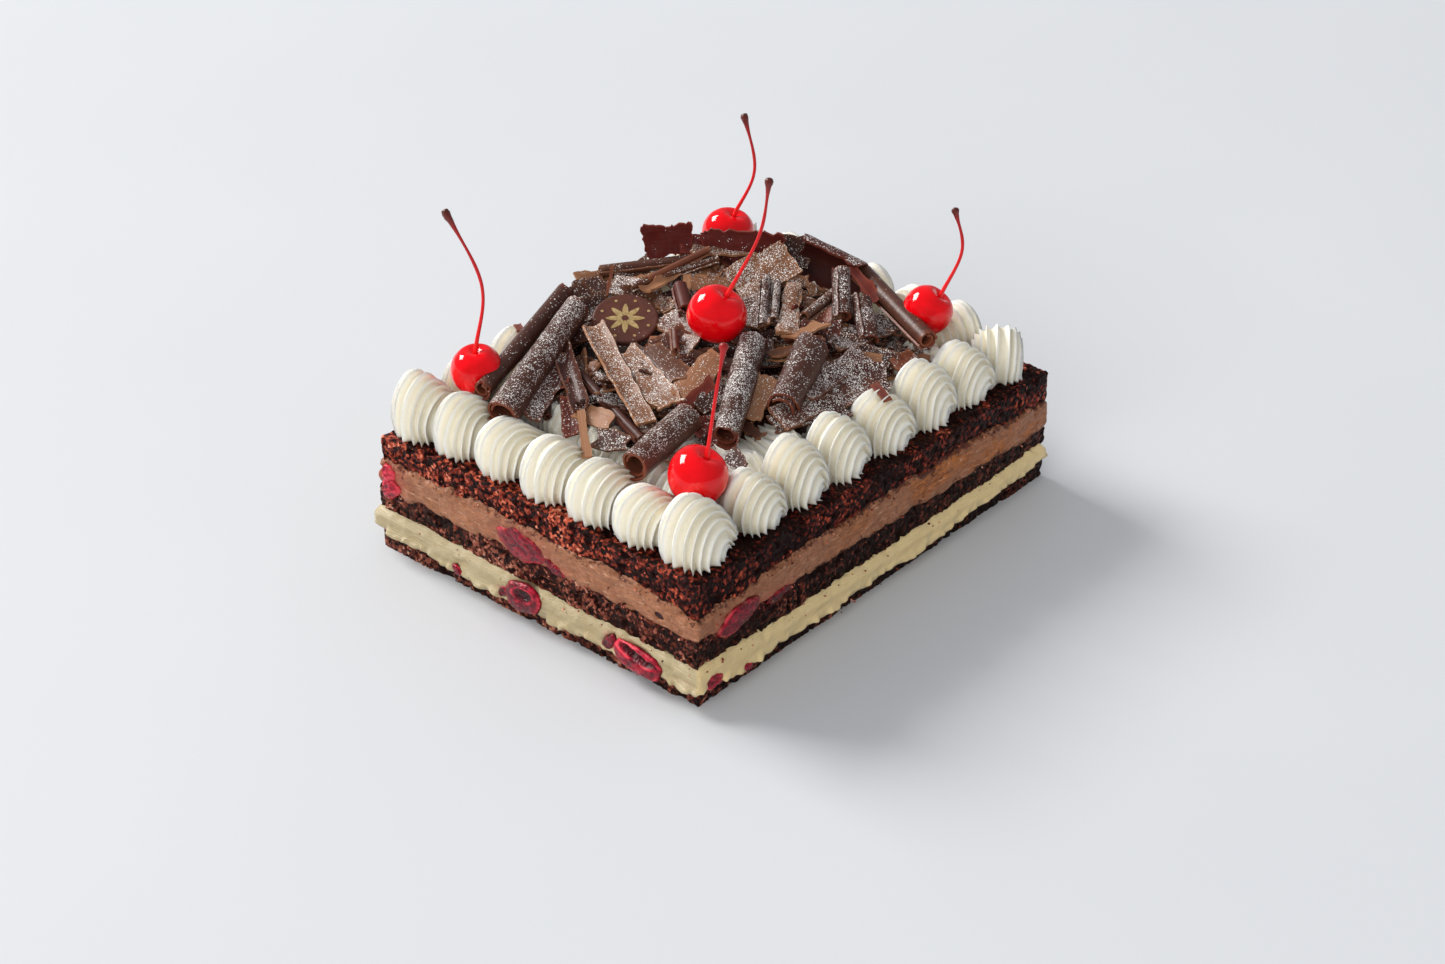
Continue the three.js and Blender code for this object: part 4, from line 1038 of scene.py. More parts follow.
# The shards that show most: ends, width, bend and curl in degrees, the way they look, tone, dust, ruddy.
SHOWN_SHARDS = [
    ((-72.5, 25.5, 63), (-41, 37.5, 70), 10, 50, 8, (-0.45, -0.6, 0.65), 0.25, 0.8, 0.1),
    ((-20, -44, 64), (27, -46.5, 63.6), 12, 16, 8, LEANING, 0.35, 1, 0.1),
    ((-4, -40, 67.5), (33, -40, 66), 9, 24, 8, LEANING, 0.25, 0.9, 0.1),
    ((26, -30, 69.5), (61, -29, 64), 10, 24, 10, LEANING, 0.3, 1, 0),
    ((-35.8, 43.5, 70.4), (-58.5, 11.7, 64.1), 9, 150, 8, FACING, 0.2, 0.35, 0.1),
    ((-59.5, 11.2, 64.7), (-78.5, -9.6, 63), 3.2, 10, 8, LEANING, 0.85, 0.05, 0),
    ((-58.2, 13.4, 64.1), (-57.1, -1.2, 64.1), 7, 10, 8, LEANING, 0.8, 0.15, 0),
    ((-64, 0, 60.3), (-59.2, -10.5, 61.1), 8, 10, 6, LEANING, 0.3, 1, 0),
    ((-54.5, 21.7, 64), (-66, 10.5, 58), 5.5, 30, 10, LEANING, 0.25, 0.5, 0.5),
    ((-51.1, 38.4, 63.5), (-42.1, 37.7, 65.9), 6, 10, 5, LEANING, 0.75, 0.1, 0),
    ((-24.4, 54, 68.5), (-9.1, 54.5, 70.7), 11, 30, 10, LEANING, 0.3, 0.9, 0),
    ((-28.7, 19.5, 71.2), (-40.8, -13.5, 67.8), 11, 25, 10, LEANING, 0.62, 0.9, 0),
    ((-21.7, 15.6, 71.3), (-30, -6, 70.4), 14, -30, 8, LEANING, 0.42, 0.35, 0),
    ((-21.5, 13.8, 70.6), (-5.5, 8.8, 73.4), 8.5, 20, 8, LEANING, 0.35, 0.4, 0.1),
    ((-36, -13.6, 68.8), (-10.6, -8.8, 74.4), 9, -25, 10, LEANING, 0.78, 0.5, 0.1),
    ((-39, -17.1, 68.1), (-23.1, -17.2, 71.5), 5, 10, 6, FACING, 0.3, 0.1, 0.8),
    ((-34.4, -21.2, 66.9), (-22.8, -19.2, 69.7), 7, 10, 6, FACING, 0.2, 0.8, 0),
    ((-1.3, 24.3, 72.3), (-6.7, 7, 73), 12, 40, 14, LEANING, 0.45, 0.8, 0),
    ((-16.9, 18.6, 70.2), (-12.4, 11.2, 72.2), 6, 10, 5, LEANING, 0.6, 0.2, 0.2),
    ((5.8, 40.7, 74.3), (21, 39.8, 75.1), 7, 140, 10, FLAT, 0.95, 0, 0),
    ((23.7, 36.8, 75.2), (5.8, 20.9, 75), 3.2, 10, 10, LEANING, 0.8, 0.05, 0),
    ((18.7, 30.4, 76.2), (52.7, 3, 73.1), 4.5, 20, 12, FACING, 0.85, 0.5, 0),
    ((1, 68.6, 70), (13.6, 66.3, 70.5), 7, 20, 8, LEANING, 0.7, 0.3, 0),
    ((-4.2, 64, 69.5), (8.4, 62.6, 70), 9, 20, 8, LEANING, 0.3, 0.5, 0),
    ((7.6, 58.1, 78), (-2, 52.8, 71), 1.2, 5, 40, FACING, 0.45, 0, 0.3),
    ((7.3, 58.4, 71), (8.3, 47.4, 72), 9, 20, 8, LEANING, 0.4, 0.95, 0),
    ((11.7, 51.6, 72.4), (16.9, 46.3, 73.1), 5, 10, 5, LEANING, 0.78, 0.1, 0),
    ((35.5, 44.2, 79), (57.2, 27.1, 78), 12, 16, 12, FLAT, 0.55, 0.75, 0),
    ((65.9, -5.8, 77), (63, -22, 70), 4.2, 20, 8, FACING, 0.3, 0.05, 0.8),
    ((47.5, 4.9, 74.3), (15.4, -17.3, 73.8), 6.5, -40, 14, LEANING, 0.6, 1, 0),
    ((45, 2.9, 74.6), (16, -17.2, 72.9), 7.5, -36, 14, LEANING, 0.6, 0.8, 0),
    ((14.5, -20.3, 74), (30.3, -21.9, 73.6), 9, 14, 10, EDGE_ON, 0.9, 0.2, 0),
    ((3, -21.3, 71.8), (24.7, -25.6, 71.4), 9, 14, 12, EDGE_ON, 0.5, 0.2, 0),
    ((3.3, -23.4, 70.4), (13.1, -22.4, 70.7), 8, 14, 8, EDGE_ON, 0.6, 0.4, 0),
    ((-6.5, -28, 69.2), (-24.9, -34.6, 64.7), 9, 60, 14, FACING, 0.8, 0.4, 0),
    ((9, -40.9, 65.8), (28.5, -52.4, 62.3), 17, 20, 10, LEANING, 0.2, 1, 0.1),
    ((-22.3, -42.3, 63), (6.8, -52.2, 61.8), 11, 20, 14, LEANING, 0.2, 1, 0),
    ((30.4, -24.7, 69.6), (45.6, -45.5, 61), 5.5, 20, 10, LEANING, 0.3, 0.9, 0),
    ((29.9, -34.3, 66.9), (38.7, -42.7, 63), 4.2, 16, 8, LEANING, 0.75, 0.3, 0),
    ((41, -46, 61.6), (52.5, -47.2, 59.6), 8, 10, 6, LEANING, 0.6, 0.8, 0.4),
    ((18.1, -55.8, 67.4), (13.2, -65, 66.2), 2.8, 5, 5, LEANING, 0.3, 0, 0.5),
    ((-47.3, -45.4, 65.6), (-49.2, -53.3, 63.4), 5, 10, 5, FACING, 0.2, 0.9, 0),
    ((26.3, 30.9, 74.6), (37.9, 36.7, 74.8), 6, 14, 8, LEANING, 0.8, 0.3, 0),
    ((29, 27.9, 74.6), (43.7, 37.8, 73.7), 5, 60, 14, LEANING, 0.5, 0.6, 0),
    ((40.2, 30.9, 74.5), (53.9, 31.3, 73.2), 7, 14, 8, LEANING, 0.15, 0.2, 0.2),
    ((44.6, 32.7, 75.1), (61, 34.3, 73.6), 9, 14, 8, LEANING, 0.5, 0.1, 0),
    ((-11.5, 17.4, 71), (-10.9, 2.2, 72.6), 10, 14, 8, LEANING, 0.5, 0.9, 0),
    ((-24, 22.6, 66.2), (-20, 9.6, 67.4), 10, 14, 8, LEANING, 0.25, 0.5, 0),
    ((25.1, 9.6, 74.9), (12.5, -8.2, 74.3), 9, 30, 10, LEANING, 0.35, 0.8, 0),
    ((24.3, -16.8, 72), (33, -27.7, 69.6), 11, 14, 8, LEANING, 0.15, 0.4, 0.3),
    ((-36, 64.4, 70), (-38.7, 59.8, 70), 3, 5, 5, LEANING, 0.35, 0, 0.5),
    ((-12.2, 60.5, 71), (-5.3, 57.5, 75), 8, 20, 8, FACING, 0.3, 0.4, 0),
    ((61.8, 26.4, 73.2), (70.3, 17, 73.7), 13, 20, 8, FACING, 0.3, 0.6, 0),
    ((35, 48.6, 80), (42, 41, 79.8), 6.9, 10, 8, FACING, 0.12, 0.3, 0.8),
    ((-14, 54, 70.6), (-3, 51, 72), 6.8, 20, 8, FACING, 0.3, 0.5, 0),
    ((3, 48.8, 71.2), (13, 45, 72.6), 6.8, 20, 8, FACING, 0.45, 0.5, 0),
    ((-29.5, 46.2, 68.2), (-20.5, 40.4, 70), 6.8, 20, 8, LEANING, 0.2, 0.4, 0),
    ((12, 61, 71.5), (24, 56, 72.8), 6.8, 20, 8, FACING, 0.4, 0.8, 0),
]
# Small rolls that show: ends, radius, turns, tone, dust, ruddiness.
SHOWN_ROLLS = [
    ((-43.5, 26.7, 66.6), (-55.8, -12.8, 62.1), 2.7, 1.3, 0.22, 0.1, 0.1),
    ((-56.2, 31.2, 63), (-64.3, 22.9, 60.4), 2.2, 1.2, 0.15, 0.2, 0.1),
    ((-9.6, 12.8, 76), (-18.2, 4.3, 73.9), 1.9, 1.2, 0.35, 0.1, 0.2),
    ((14.4, 31.9, 77.2), (2.4, 17.9, 76.1), 3.3, 1.3, 0.2, 0.1, 0.4),
    ((10.7, 67.6, 72), (33.2, 43.3, 76), 2.8, 1.4, 0.35, 0.4, 0),
    ((12.6, 44.4, 76), (35, 37, 81), 2, 1.3, 0.5, 0.1, 0.2),
    ((5.5, 47.8, 74), (36.6, 33.6, 78), 2.3, 1.2, 0.4, 0.8, 0),
    ((38, 11, 77), (13, -8.6, 75), 2.4, 1.3, 0.3, 1, 0),
    ((43.6, 10, 75.6), (20, -8, 75), 2.2, 1.2, 0.35, 1, 0),
    ((29.6, -13.8, 73.5), (50.5, -11.9, 75), 2.6, 1.1, 0.4, 0.7, 0),
]
# Loose shards between them: how many, length, width, bend, curl, tilt in degrees, lift over the heap.
LOOSE_SHARDS = [
    (60, (15, 24), (9, 16), (-50, 70), (5, 30), (4, 26), (-4.5, -2.0)),
    (60, (14, 26), (4, 7.5), (20, 120), (5, 40), (5, 35), (-3.5, -0.6)),
    (40, (7, 13), (5, 9), (5, 60), (5, 30), (5, 50), (-2.5, -0.6)),
]
LOOSE_ROLLS = (24, (10, 22), (1.8, 3.2), (-2.5, -0.2))


def heap_slope(x, y):
    """The direction that the heap's surface looks."""
    slope = np.array([heap_height(x - 1, y) - heap_height(x + 1, y),
                      heap_height(x, y - 1) - heap_height(x, y + 1), 2.0])
    return slope / np.linalg.norm(slope)


def add_shard(shape, points, faces, tone, dust, ruddy, along, at, face):
    shape.add(laid(points, along, at, face), faces, tone=tone, dust=dust, ruddy=ruddy,
              grain=grain_of(points, shape.count))


def add_shown_shards(shape, rng):
    for start, end, width, bend, curl, face, tone, dust, ruddy in SHOWN_SHARDS:
        length = distance(start, end)
        points, faces, _, rim = plate_points(length, width, bend, curl, rng, torn=min(0.8, width / 11),
                                             grid=(max(6, round(length / 1.6)), max(4, round(width / 1.3))))
        add_shard(shape, points, faces, tone + 0.22 * rim, dust, ruddy, *line(start, end), face)
    for start, end, radius, turns, tone, dust, ruddy in SHOWN_ROLLS:
        points, faces, _, rim = scroll_points(distance(start, end), (radius, radius), turns,
                                              rng.uniform(2, 4), rng, torn=0.9, rows=16, columns=26,
                                              thickness=0.7)
        add_shard(shape, points, faces, tone + 0.18 * rim, dust, ruddy, *line(start, end), UP)


def loose_size_and_place(rng, margin, lengths, breadths, lifts):
    """A loose piece's length, breadth and place on the heap, at least the margin inside its edge."""
    x, y = rng.uniform(INNER_LOW + [margin + 7, margin + 1], INNER_HIGH - margin)
    length, breadth = rng.uniform(*lengths), rng.uniform(*breadths)
    return length, breadth, np.array([x, y, heap_height(x, y) + rng.uniform(*lifts)])


def heading_of(turn, rise=0):
    return np.array([math.cos(turn), math.sin(turn), rise])


def add_loose_shards(shape, rng):
    for count, lengths, widths, bends, curls, tilts, lifts in LOOSE_SHARDS:
        made = 0
        while made < count:
            length, width, at = loose_size_and_place(rng, 6, lengths, widths, lifts)
            heading, lean = rng.uniform(0, 2 * math.pi, 2)
            tilt = math.tan(math.radians(rng.uniform(*tilts)))
            bend, curl = rng.uniform(*bends), rng.uniform(*curls)
            tone, dust, ruddy = rng.beta(1.4, 1.9), rng.beta(1.3, 1.1), 0.7 * (rng.uniform() < 0.12)
            points, faces, side, rim = plate_points(length, width, bend, curl, rng)
            if not clear_of_firm_pieces(at, 0.36 * length):
                continue
            face = heap_slope(*at[:2]) + tilt * heading_of(lean)
            along = heading_of(heading)
            along = along - face * (along @ face) / (face @ face)
            tone = 0.85 * tone + 0.22 * rim - 0.05 * side
            add_shard(shape, points, faces, tone, dust, ruddy, along, at, face)
            made += 1
    count, lengths, radii, lifts = LOOSE_ROLLS
    made = 0
    while made < count:
        length, radius, at = loose_size_and_place(rng, 7, lengths, radii, lifts)
        heading, climb = rng.uniform(0, 2 * math.pi), rng.uniform(-0.3, 0.3)
        turns, tone, dust = rng.uniform(0.7, 1.5), rng.beta(1.3, 2.4), rng.beta(1.3, 1.2)
        points, faces, _, rim = scroll_points(length, (radius, radius * 1.1), turns, rng.uniform(0, 6.3),
                                              rng, torn=0.8, rows=9, columns=22, thickness=0.7)
        if clear_of_firm_pieces(at, 0.4 * length):
            along = heading_of(heading, climb)
            add_shard(shape, points, faces, 0.6 * tone + 0.18 * rim, dust, 0, along, at, UP)
            made += 1


def make_shards():
    shape = Shape()
    make_heap_core(shape)
    rng = np.random.default_rng(77)
    add_shown_shards(shape, rng)
    add_loose_shards(shape, rng)
    place_piece("chocolate_heap", shape, CHOCOLATE, "chocolate", crease=SHARP)


# ---------- Plaque ----------

PLAQUE_AT = np.array([-11.5, 34.5, 72.4])
PLAQUE_NORMAL = np.array([-0.246, -0.214, 0.946])
PLAQUE_RADIUS = 12.0
PLAQUE_THICKNESS = 2.2
# Half profile of the disc: share of its radius, and height in half thicknesses. Its face is hollow.
DISC_PROFILE = [(0.9, -1), (0.985, -0.6), (1.0, 0), (0.985, 0.7), (0.955, 1), (0.9, 0.93), (0.6, 0.9),
                (0.3, 0.9)]
DISC_FACE = 0.9 * PLAQUE_THICKNESS / 2
DISC_COLUMNS, PETAL_COLUMNS = 96, 20
PETALS = 8
PETAL_MIDDLE, PETAL_HALF_LENGTH, PETAL_HALF_WIDTH = 4.1, 2.9, 1.05
DOT_MIDDLE, DOT_RADIUS = 9.0, 0.55
PRINT_LOW, PRINT_HIGH = -0.1, 0.09      # the print's underside and top, from the disc's face


def on_plaque(points):
    return laid(points, VIEW_RIGHT, PLAQUE_AT, PLAQUE_NORMAL)


def make_plaque():
    half = PLAQUE_THICKNESS / 2
    around = circle(DISC_COLUMNS)
    rings = [np.column_stack([PLAQUE_RADIUS * r * np.cos(around), PLAQUE_RADIUS * r * np.sin(around),
                              np.full(DISC_COLUMNS, half * z)]) for r, z in DISC_PROFILE]
    points = np.concatenate([*rings, [[0, 0, -half]], [[0, 0, DISC_FACE]]])
    shape = Shape()
    shape.add(on_plaque(points), capped_tube(len(rings), DISC_COLUMNS), tone=0.34, dust=0.1, ruddy=0.12,
              grain=0)
    place_piece("plaque", shape, CHOCOLATE, "chocolate")


def make_ornament():
    """A rosette of petals, with a dot between each two."""
    t = circle(PETAL_COLUMNS)
    level = np.zeros(PETAL_COLUMNS)
    petal = np.column_stack([PETAL_MIDDLE + PETAL_HALF_LENGTH * np.cos(t),
                             PETAL_HALF_WIDTH * np.sin(t) * (1 - 0.35 * np.cos(t)), level])
    dot = np.column_stack([DOT_MIDDLE + DOT_RADIUS * np.cos(t), DOT_RADIUS * np.sin(t), level])
    shape = Shape()
    for number in range(PETALS):
        for edge, extra in ((petal, 0.0), (dot, math.pi / PETALS)):
            turn = 2 * math.pi * number / PETALS + extra
            c, s = math.cos(turn), math.sin(turn)
            flat = edge @ np.array([[c, s, 0], [-s, c, 0], [0, 0, 1]])
            lower, upper = flat + [0, 0, DISC_FACE + PRINT_LOW], flat + [0, 0, DISC_FACE + PRINT_HIGH]
            body = np.concatenate([lower, upper, [lower.mean(0)], [upper.mean(0)]])
            shape.add(on_plaque(body), capped_tube(2, PETAL_COLUMNS))
    place_piece("plaque_ornament", shape, GOLD, "chocolate", crease=40, added=True)


# ---------- Cherries ----------

# Each cherry's place, radius, lean towards X and Y, and its stem's two further points from where it starts.
CHERRIES = {
    "front": ((-67.7, -49.2, 67.4), 10.35, (0.31, -0.355), ((5, 1, 18), (11.8, 2.6, 37))),
    "left": ((-67.2, 53.5, 68.9), 9.4, (-0.03, 0.04), ((6.6, 2.1, 23), (2.3, 14, 49.5))),
    "back": ((66.3, 53.5, 71), 9.8, (0.2, -0.23), ((8.2, -3.2, 17), (9.6, 3.2, 37.5))),
    "right": ((68.7, -39.6, 70), 9.2, (0.51, -0.59), ((8.2, -2.9, 16.4), (9.4, 2, 31.2))),
    "centre": ((0, 1.2, 82), 10.5, (0.31, -0.355), ((12, -4.8, 21), (18.5, -3.9, 40.2))),
}
CHERRY_BALLS = [(np.array(at, float), radius) for at, radius, *_ in CHERRIES.values()]
CHERRY_ROWS, CHERRY_COLUMNS = 42, 64
STEM_ROWS, STEM_COLUMNS = 46, 14
DIMPLE, BOTTOM = 0.62, -0.96    # heights of the dimple and the bottom over the middle, in radii
STEM_CLEAR = 1.25
FRESH_STEM = 0.9                # the front stem is red nearly to its tip
STEM_FOOT = 0.06                # how much of its length the stem reaches down into the dimple
# Half profile of a cherry in radii, against the share of its length from the bottom to the dimple.
CHERRY_OUT = [(0, 0), (0.12, 0.42), (0.3, 0.82), (0.48, 0.985), (0.62, 0.97), (0.76, 0.78), (0.86, 0.5),
              (0.94, 0.2), (1, 0)]
CHERRY_UP = [(0, BOTTOM), (0.12, -0.88), (0.3, -0.56), (0.48, -0.12), (0.62, 0.26), (0.76, 0.64),
             (0.86, 0.83), (0.94, 0.78), (1, DIMPLE)]


def cherry_shape(at, radius, axis, seed):
    share = np.linspace(0, 1, CHERRY_ROWS + 2)[1:-1]
    around = circle(CHERRY_COLUMNS)
    out, up = curve_through(share, CHERRY_OUT)[:, None], curve_through(share, CHERRY_UP)[:, None]
    lobe = 1 + 0.02 * np.cos(2 * around + seed) + 0.012 * np.cos(3 * around + 2 * seed)
    crease = 1 + 0.05 * eased(share, 0.8, 0.93)[:, None] * np.cos(7 * around + seed)
    points = np.stack([out * lobe * crease * np.cos(around), out * lobe * crease * np.sin(around),
                       up * np.ones_like(around)], -1).reshape(-1, 3)
    points = np.concatenate([points, [[0, 0, BOTTOM]], [[0, 0, DIMPLE]]]) * radius
    points += 0.2 * drift(points, 6, seed)
    return laid(points, np.cross([0, 1, 0], axis), at, axis), capped_tube(CHERRY_ROWS, CHERRY_COLUMNS)


def stem_shape(start, offsets, seed):
    """A stem that thins from its foot, then swells to a broken knob."""
    t = np.linspace(-STEM_FOOT, 1.0, STEM_ROWS)
    path = np.stack([curve_through(np.clip(t, 0, 1), [(0, 0), (0.5, middle), (1, tip)])
                     for middle, tip in zip(*offsets)], -1)
    path[:, 2] += np.minimum(t, 0) * 20
    path += start
    radius = curve_through(t, [(-STEM_FOOT, 0.95), (0, 0.85), (0.2, 0.66), (0.6, 0.64), (0.88, 0.8),
                               (0.94, 1.2), (0.97, 1.6), (1.0, 1.15)])
    tangent = np.gradient(path, axis=0)
    tangent /= np.linalg.norm(tangent, axis=1, keepdims=True)
    side = np.cross(tangent, [0.3, 1, 0.1])
    side /= np.linalg.norm(side, axis=1, keepdims=True)
    other = np.cross(tangent, side)
    around = circle(STEM_COLUMNS)
    ring = side[:, None] * np.cos(around)[None, :, None] + other[:, None] * np.sin(around)[None, :, None]
    points = path[:, None] + ring * radius[:, None, None]
    rough = eased(t, 0.9, 0.96)[:, None]
    points += (0.35 * rough * waves(points, 1.2, seed))[..., None] * ring
    points = np.concatenate([points.reshape(-1, 3), path[[0]], path[[-1]] + 0.3 * tangent[[-1]]])
    return points, capped_tube(STEM_ROWS, STEM_COLUMNS), np.append(np.repeat(t, STEM_COLUMNS), [0, 1])


def make_cherries():
    for number, (name, (at, radius, lean, offsets)) in enumerate(CHERRIES.items()):
        axis = np.array([*lean, 1.0]) / math.hypot(*lean, 1)
        shape = Shape()
        shape.add(*cherry_shape(at, radius, axis, 400 + number))
        place_piece(f"cherry_{name}", shape, CHERRY, "cherry")
        start = np.array(at) + axis * (radius * DIMPLE + STEM_CLEAR)
        points, faces, along = stem_shape(start, offsets, 420 + number)
        shape = Shape()
        shape.add(points, faces, along=along * (FRESH_STEM if name == "front" else 1))
        place_piece(f"stem_{name}", shape, STEM, "stem")


# ---------- Pieces of cherry in the sides ----------

LEFT, FRONT, RIGHT, BACK = (-1, 0, 0), (0, -1, 0), (1, 0, 0), (0, 1, 0)
OVAL = [(6.4, 0), (4.4, 3.4), (0, 4.6), (-4, 3.8), (-6, 0.6), (-4.6, -3.2), (-0.6, -4.2), (4, -3.4)]
# Each piece of fruit: the way its side of the block looks, its outline along that side and up, how proud of
# the side its rim is, how far it domes out, its tone, and the hollow of the pit where it has one: depth,
# place, half length, half width and slope.
FRUIT_PIECES = [
    (LEFT, [(76.5, 23.8), (74.7, 28.8), (70.3, 32.3), (66.4, 30.6), (64.6, 28), (68, 23.7), (73.2, 22.8)],
     -0.3, 1.6, 0.62),
    (LEFT, [(75.5, 34.6), (70.9, 37), (67, 35.3), (67.3, 31.4), (71.6, 28.8), (74.5, 30.6)],
     -0.4, 1.5, 0.66),
    (LEFT, [(17.8, 32), (14.5, 35), (8.4, 37.4), (4, 36), (0.1, 34.6), (-5, 32), (-6.7, 29), (-2.4, 26.4),
            (4.4, 23.9), (9.1, 24.6), (13.3, 27)], -0.5, 0.8, 0.46),
    (LEFT, [(-4.9, 30.4), (-9.5, 29.5), (-15.1, 27.2), (-13.1, 25.6), (-8, 26.6)], -0.5, 0.5, 0.4),
    (LEFT, [(38.3, 9.4), (36.3, 10.4), (34, 8.4), (34.1, 6.6), (36.6, 6.1)], 0.5, 0.8, 0.4),
    (LEFT, [(12.1, 13.3), (8.1, 16), (1.8, 17.4), (-1.9, 16.6), (-3.8, 13.2), (-3.6, 9), (0.6, 5.2),
            (5.9, 4.4), (10.1, 5.8), (12.4, 8.6)], 0.4, 1.9, 0.42, (0.8, 3.2, 12.6, 4, 2.2, -0.1)),
    (LEFT, [(15.8, 8.4), (13.7, 11), (11.3, 10.8), (12, 7.6), (14.5, 6.6)], 0.4, 0.8, 0.4),
    (LEFT, [(-38.5, 12.1), (-40.4, 14.2), (-47.6, 14.9), (-55.7, 13.7), (-59.2, 11.1), (-60.1, 7.9),
            (-58.2, 4.6), (-52.8, 3.6), (-47.4, 4), (-42, 5.8), (-38.8, 8.6)],
     0.5, 2.2, 0.5, (1.2, -49.4, 11.6, 8.4, 1.5, 0.17)),
    (LEFT, [(-32.4, 8.4), (-34.4, 12.4), (-37.6, 14.4), (-38.9, 12.6), (-37.6, 8.6), (-34.7, 7.4)],
     0.3, 0.7, 0.36),
    (LEFT, [(-55, 30.2), (-57.3, 31.6), (-59.6, 30.3), (-59.3, 28.9), (-56.6, 28.6)], -1.0, 0.2, 0.1),
    (FRONT, [(-86.4, 25.2), (-84, 29), (-79, 31.4), (-71, 31.8), (-65.8, 30.2), (-65.3, 27.3),
             (-69.4, 24.8), (-76, 22.6), (-82.5, 22)], -0.4, 1.4, 0.46),
    (FRONT, [(-62.2, 24.4), (-58.1, 26.4), (-50.8, 26.9), (-47.6, 25.5), (-52, 24.4), (-58, 23.2)],
     -0.5, 0.5, 0.3),
    (FRONT, [(-75.6, 6.4), (-72.9, 7.2), (-70.2, 6), (-70.8, 4.4), (-73.9, 4.6)], 0.3, 0.5, 0.5),
    (FRONT, [(-94, 9.4), (-91.5, 11.2), (-87, 10.6), (-84.6, 8.4), (-87.2, 5.8), (-92, 6)],
     -0.2, 0.6, 0.55),
    (RIGHT, [(10 + a, 27 + 0.8 * b) for a, b in OVAL], 1.8, 1.6, 0.42, (0.7, 9, 27.6, 3.4, 1.6, 0.1)),
    (RIGHT, [(-30 + 0.8 * a, 11 + 0.8 * b) for a, b in OVAL],
     -0.6, 1.8, 0.45, (0.9, -30, 11.6, 3.4, 1.5, 0)),
    (BACK, [(40 - a, 28 + 0.75 * b) for a, b in OVAL], 0.4, 1.5, 0.4),
    (BACK, [(-30 - 0.9 * a, 12 + 0.8 * b) for a, b in OVAL], 3.0, 1.8, 0.45, (0.8, -29, 12.4, 3.6, 1.6, 0)),
]
FRUIT_RINGS, FRUIT_COLUMNS = 14, 64
FRUIT_SUNK = 1.6                # how far behind its rim a piece of fruit ends
FRUIT_PRESS = 2.4               # how far it presses the layer behind it in
FRUIT_NEAR, FRUIT_DEEP = 16, 4  # only points that close to a piece and to its side can be pressed in
CREAM_STANDS, MOUSSE_STANDS = 2.4, 1.8  # how far out of the block's sides the two soft layers stand
CREAM_TOP = 18                  # no cream filling lies higher than this, and no mousse lower


def pressed(points):
    """How far the pieces of fruit press the layers in, at points near the block's sides."""
    total = np.zeros(len(points))
    for way, knots, *_ in FRUIT_PIECES:
        across, reach = (1, HALF_X) if way[0] else (0, HALF_Y)
        rim = closed_curve(knots, FRUIT_COLUMNS)
        off = points[:, [across, 2]] - rim.mean(0)
        near = (np.abs(off).max(axis=1) < FRUIT_NEAR) & (points @ np.array(way, float) > reach - FRUIT_DEEP)
        if near.any():
            spokes = rim - rim.mean(0)
            edge = np.interp(np.arctan2(off[:, 1], off[:, 0]), np.arctan2(spokes[:, 1], spokes[:, 0]),
                             np.hypot(*spokes.T), period=2 * math.pi)
            far = np.hypot(*off.T) / edge
            total = np.maximum(total, near * FRUIT_PRESS * np.exp(-(far / 0.82) ** 6))
    return total


def closed_curve(knots, count):
    """Points of a smooth closed curve through the knots."""
    knots = np.array(knots, float)
    at = np.linspace(0, len(knots), count, endpoint=False)
    k, t = np.floor(at).astype(int), (at % 1)[:, None]
    a, b, c, d = (knots[(k + step) % len(knots)] for step in (-1, 0, 1, 2))
    return 0.5 * (2 * b + (c - a) * t + (2 * a - 5 * b + 4 * c - d) * t ** 2
                  + (3 * b - a - 3 * c + d) * t ** 3)


def fruit_surface(number, knots, dome, tone, hollow):
    """Points along the side and up, how far out each is, its relief, a tone with painted highlights and
    shade, and its share of the way to the rim.
    """
    rim = closed_curve(knots, FRUIT_COLUMNS)
    middle = rim.mean(0)
    flat_rim = np.pad(rim, ((0, 0), (0, 1)))
    rim = rim + np.stack([0.35 * waves(flat_rim, 1.5, 60 + axis + number)
                          + 0.5 * waves(flat_rim, 3.2, 64 + axis) for axis in range(2)], -1)
    shares = np.linspace(0, 1, FRUIT_RINGS + 1)[1:, None]
    flat = middle + (rim - middle) * shares[..., None]
    flat = np.concatenate([flat.reshape(-1, 2), [middle]])
    share = np.append(np.repeat(shares, FRUIT_COLUMNS), 0)
    place = np.pad(flat, ((0, 0), (0, 1)), constant_values=5.0 * number)
    fibres = waves(place * [1, 1.8, 1], 1.3, 62)
    out = dome * np.sqrt(1 - 0.98 * share ** 3) + 0.3 * fibres * (1 - share ** 4)
    patchy = 0.5 + 0.5 * waves(place, 4.5, 63)
    # A painted highlight runs along the rim.
    relief = tone + 0.2 * fibres - 0.06 + 0.4 * patchy * np.exp(-((share - 0.92) / 0.07) ** 2)
    for depth, a, b, length, width, slope in hollow:
        off = flat - [a, b]
        off[:, 1] -= slope * off[:, 0]
        far = np.hypot(off[:, 0] / length, off[:, 1] / width)
        out = out - depth * dome * np.exp(-far ** 4)
        # The pit's hollow is painted dark as shade, with a painted highlight round its rim.
        relief = relief - 0.35 * np.exp(-far ** 4) + 0.7 * patchy * np.exp(-((far - 1.25) / 0.16) ** 2)
    return flat, out - 0.5 * share ** 8, relief, share


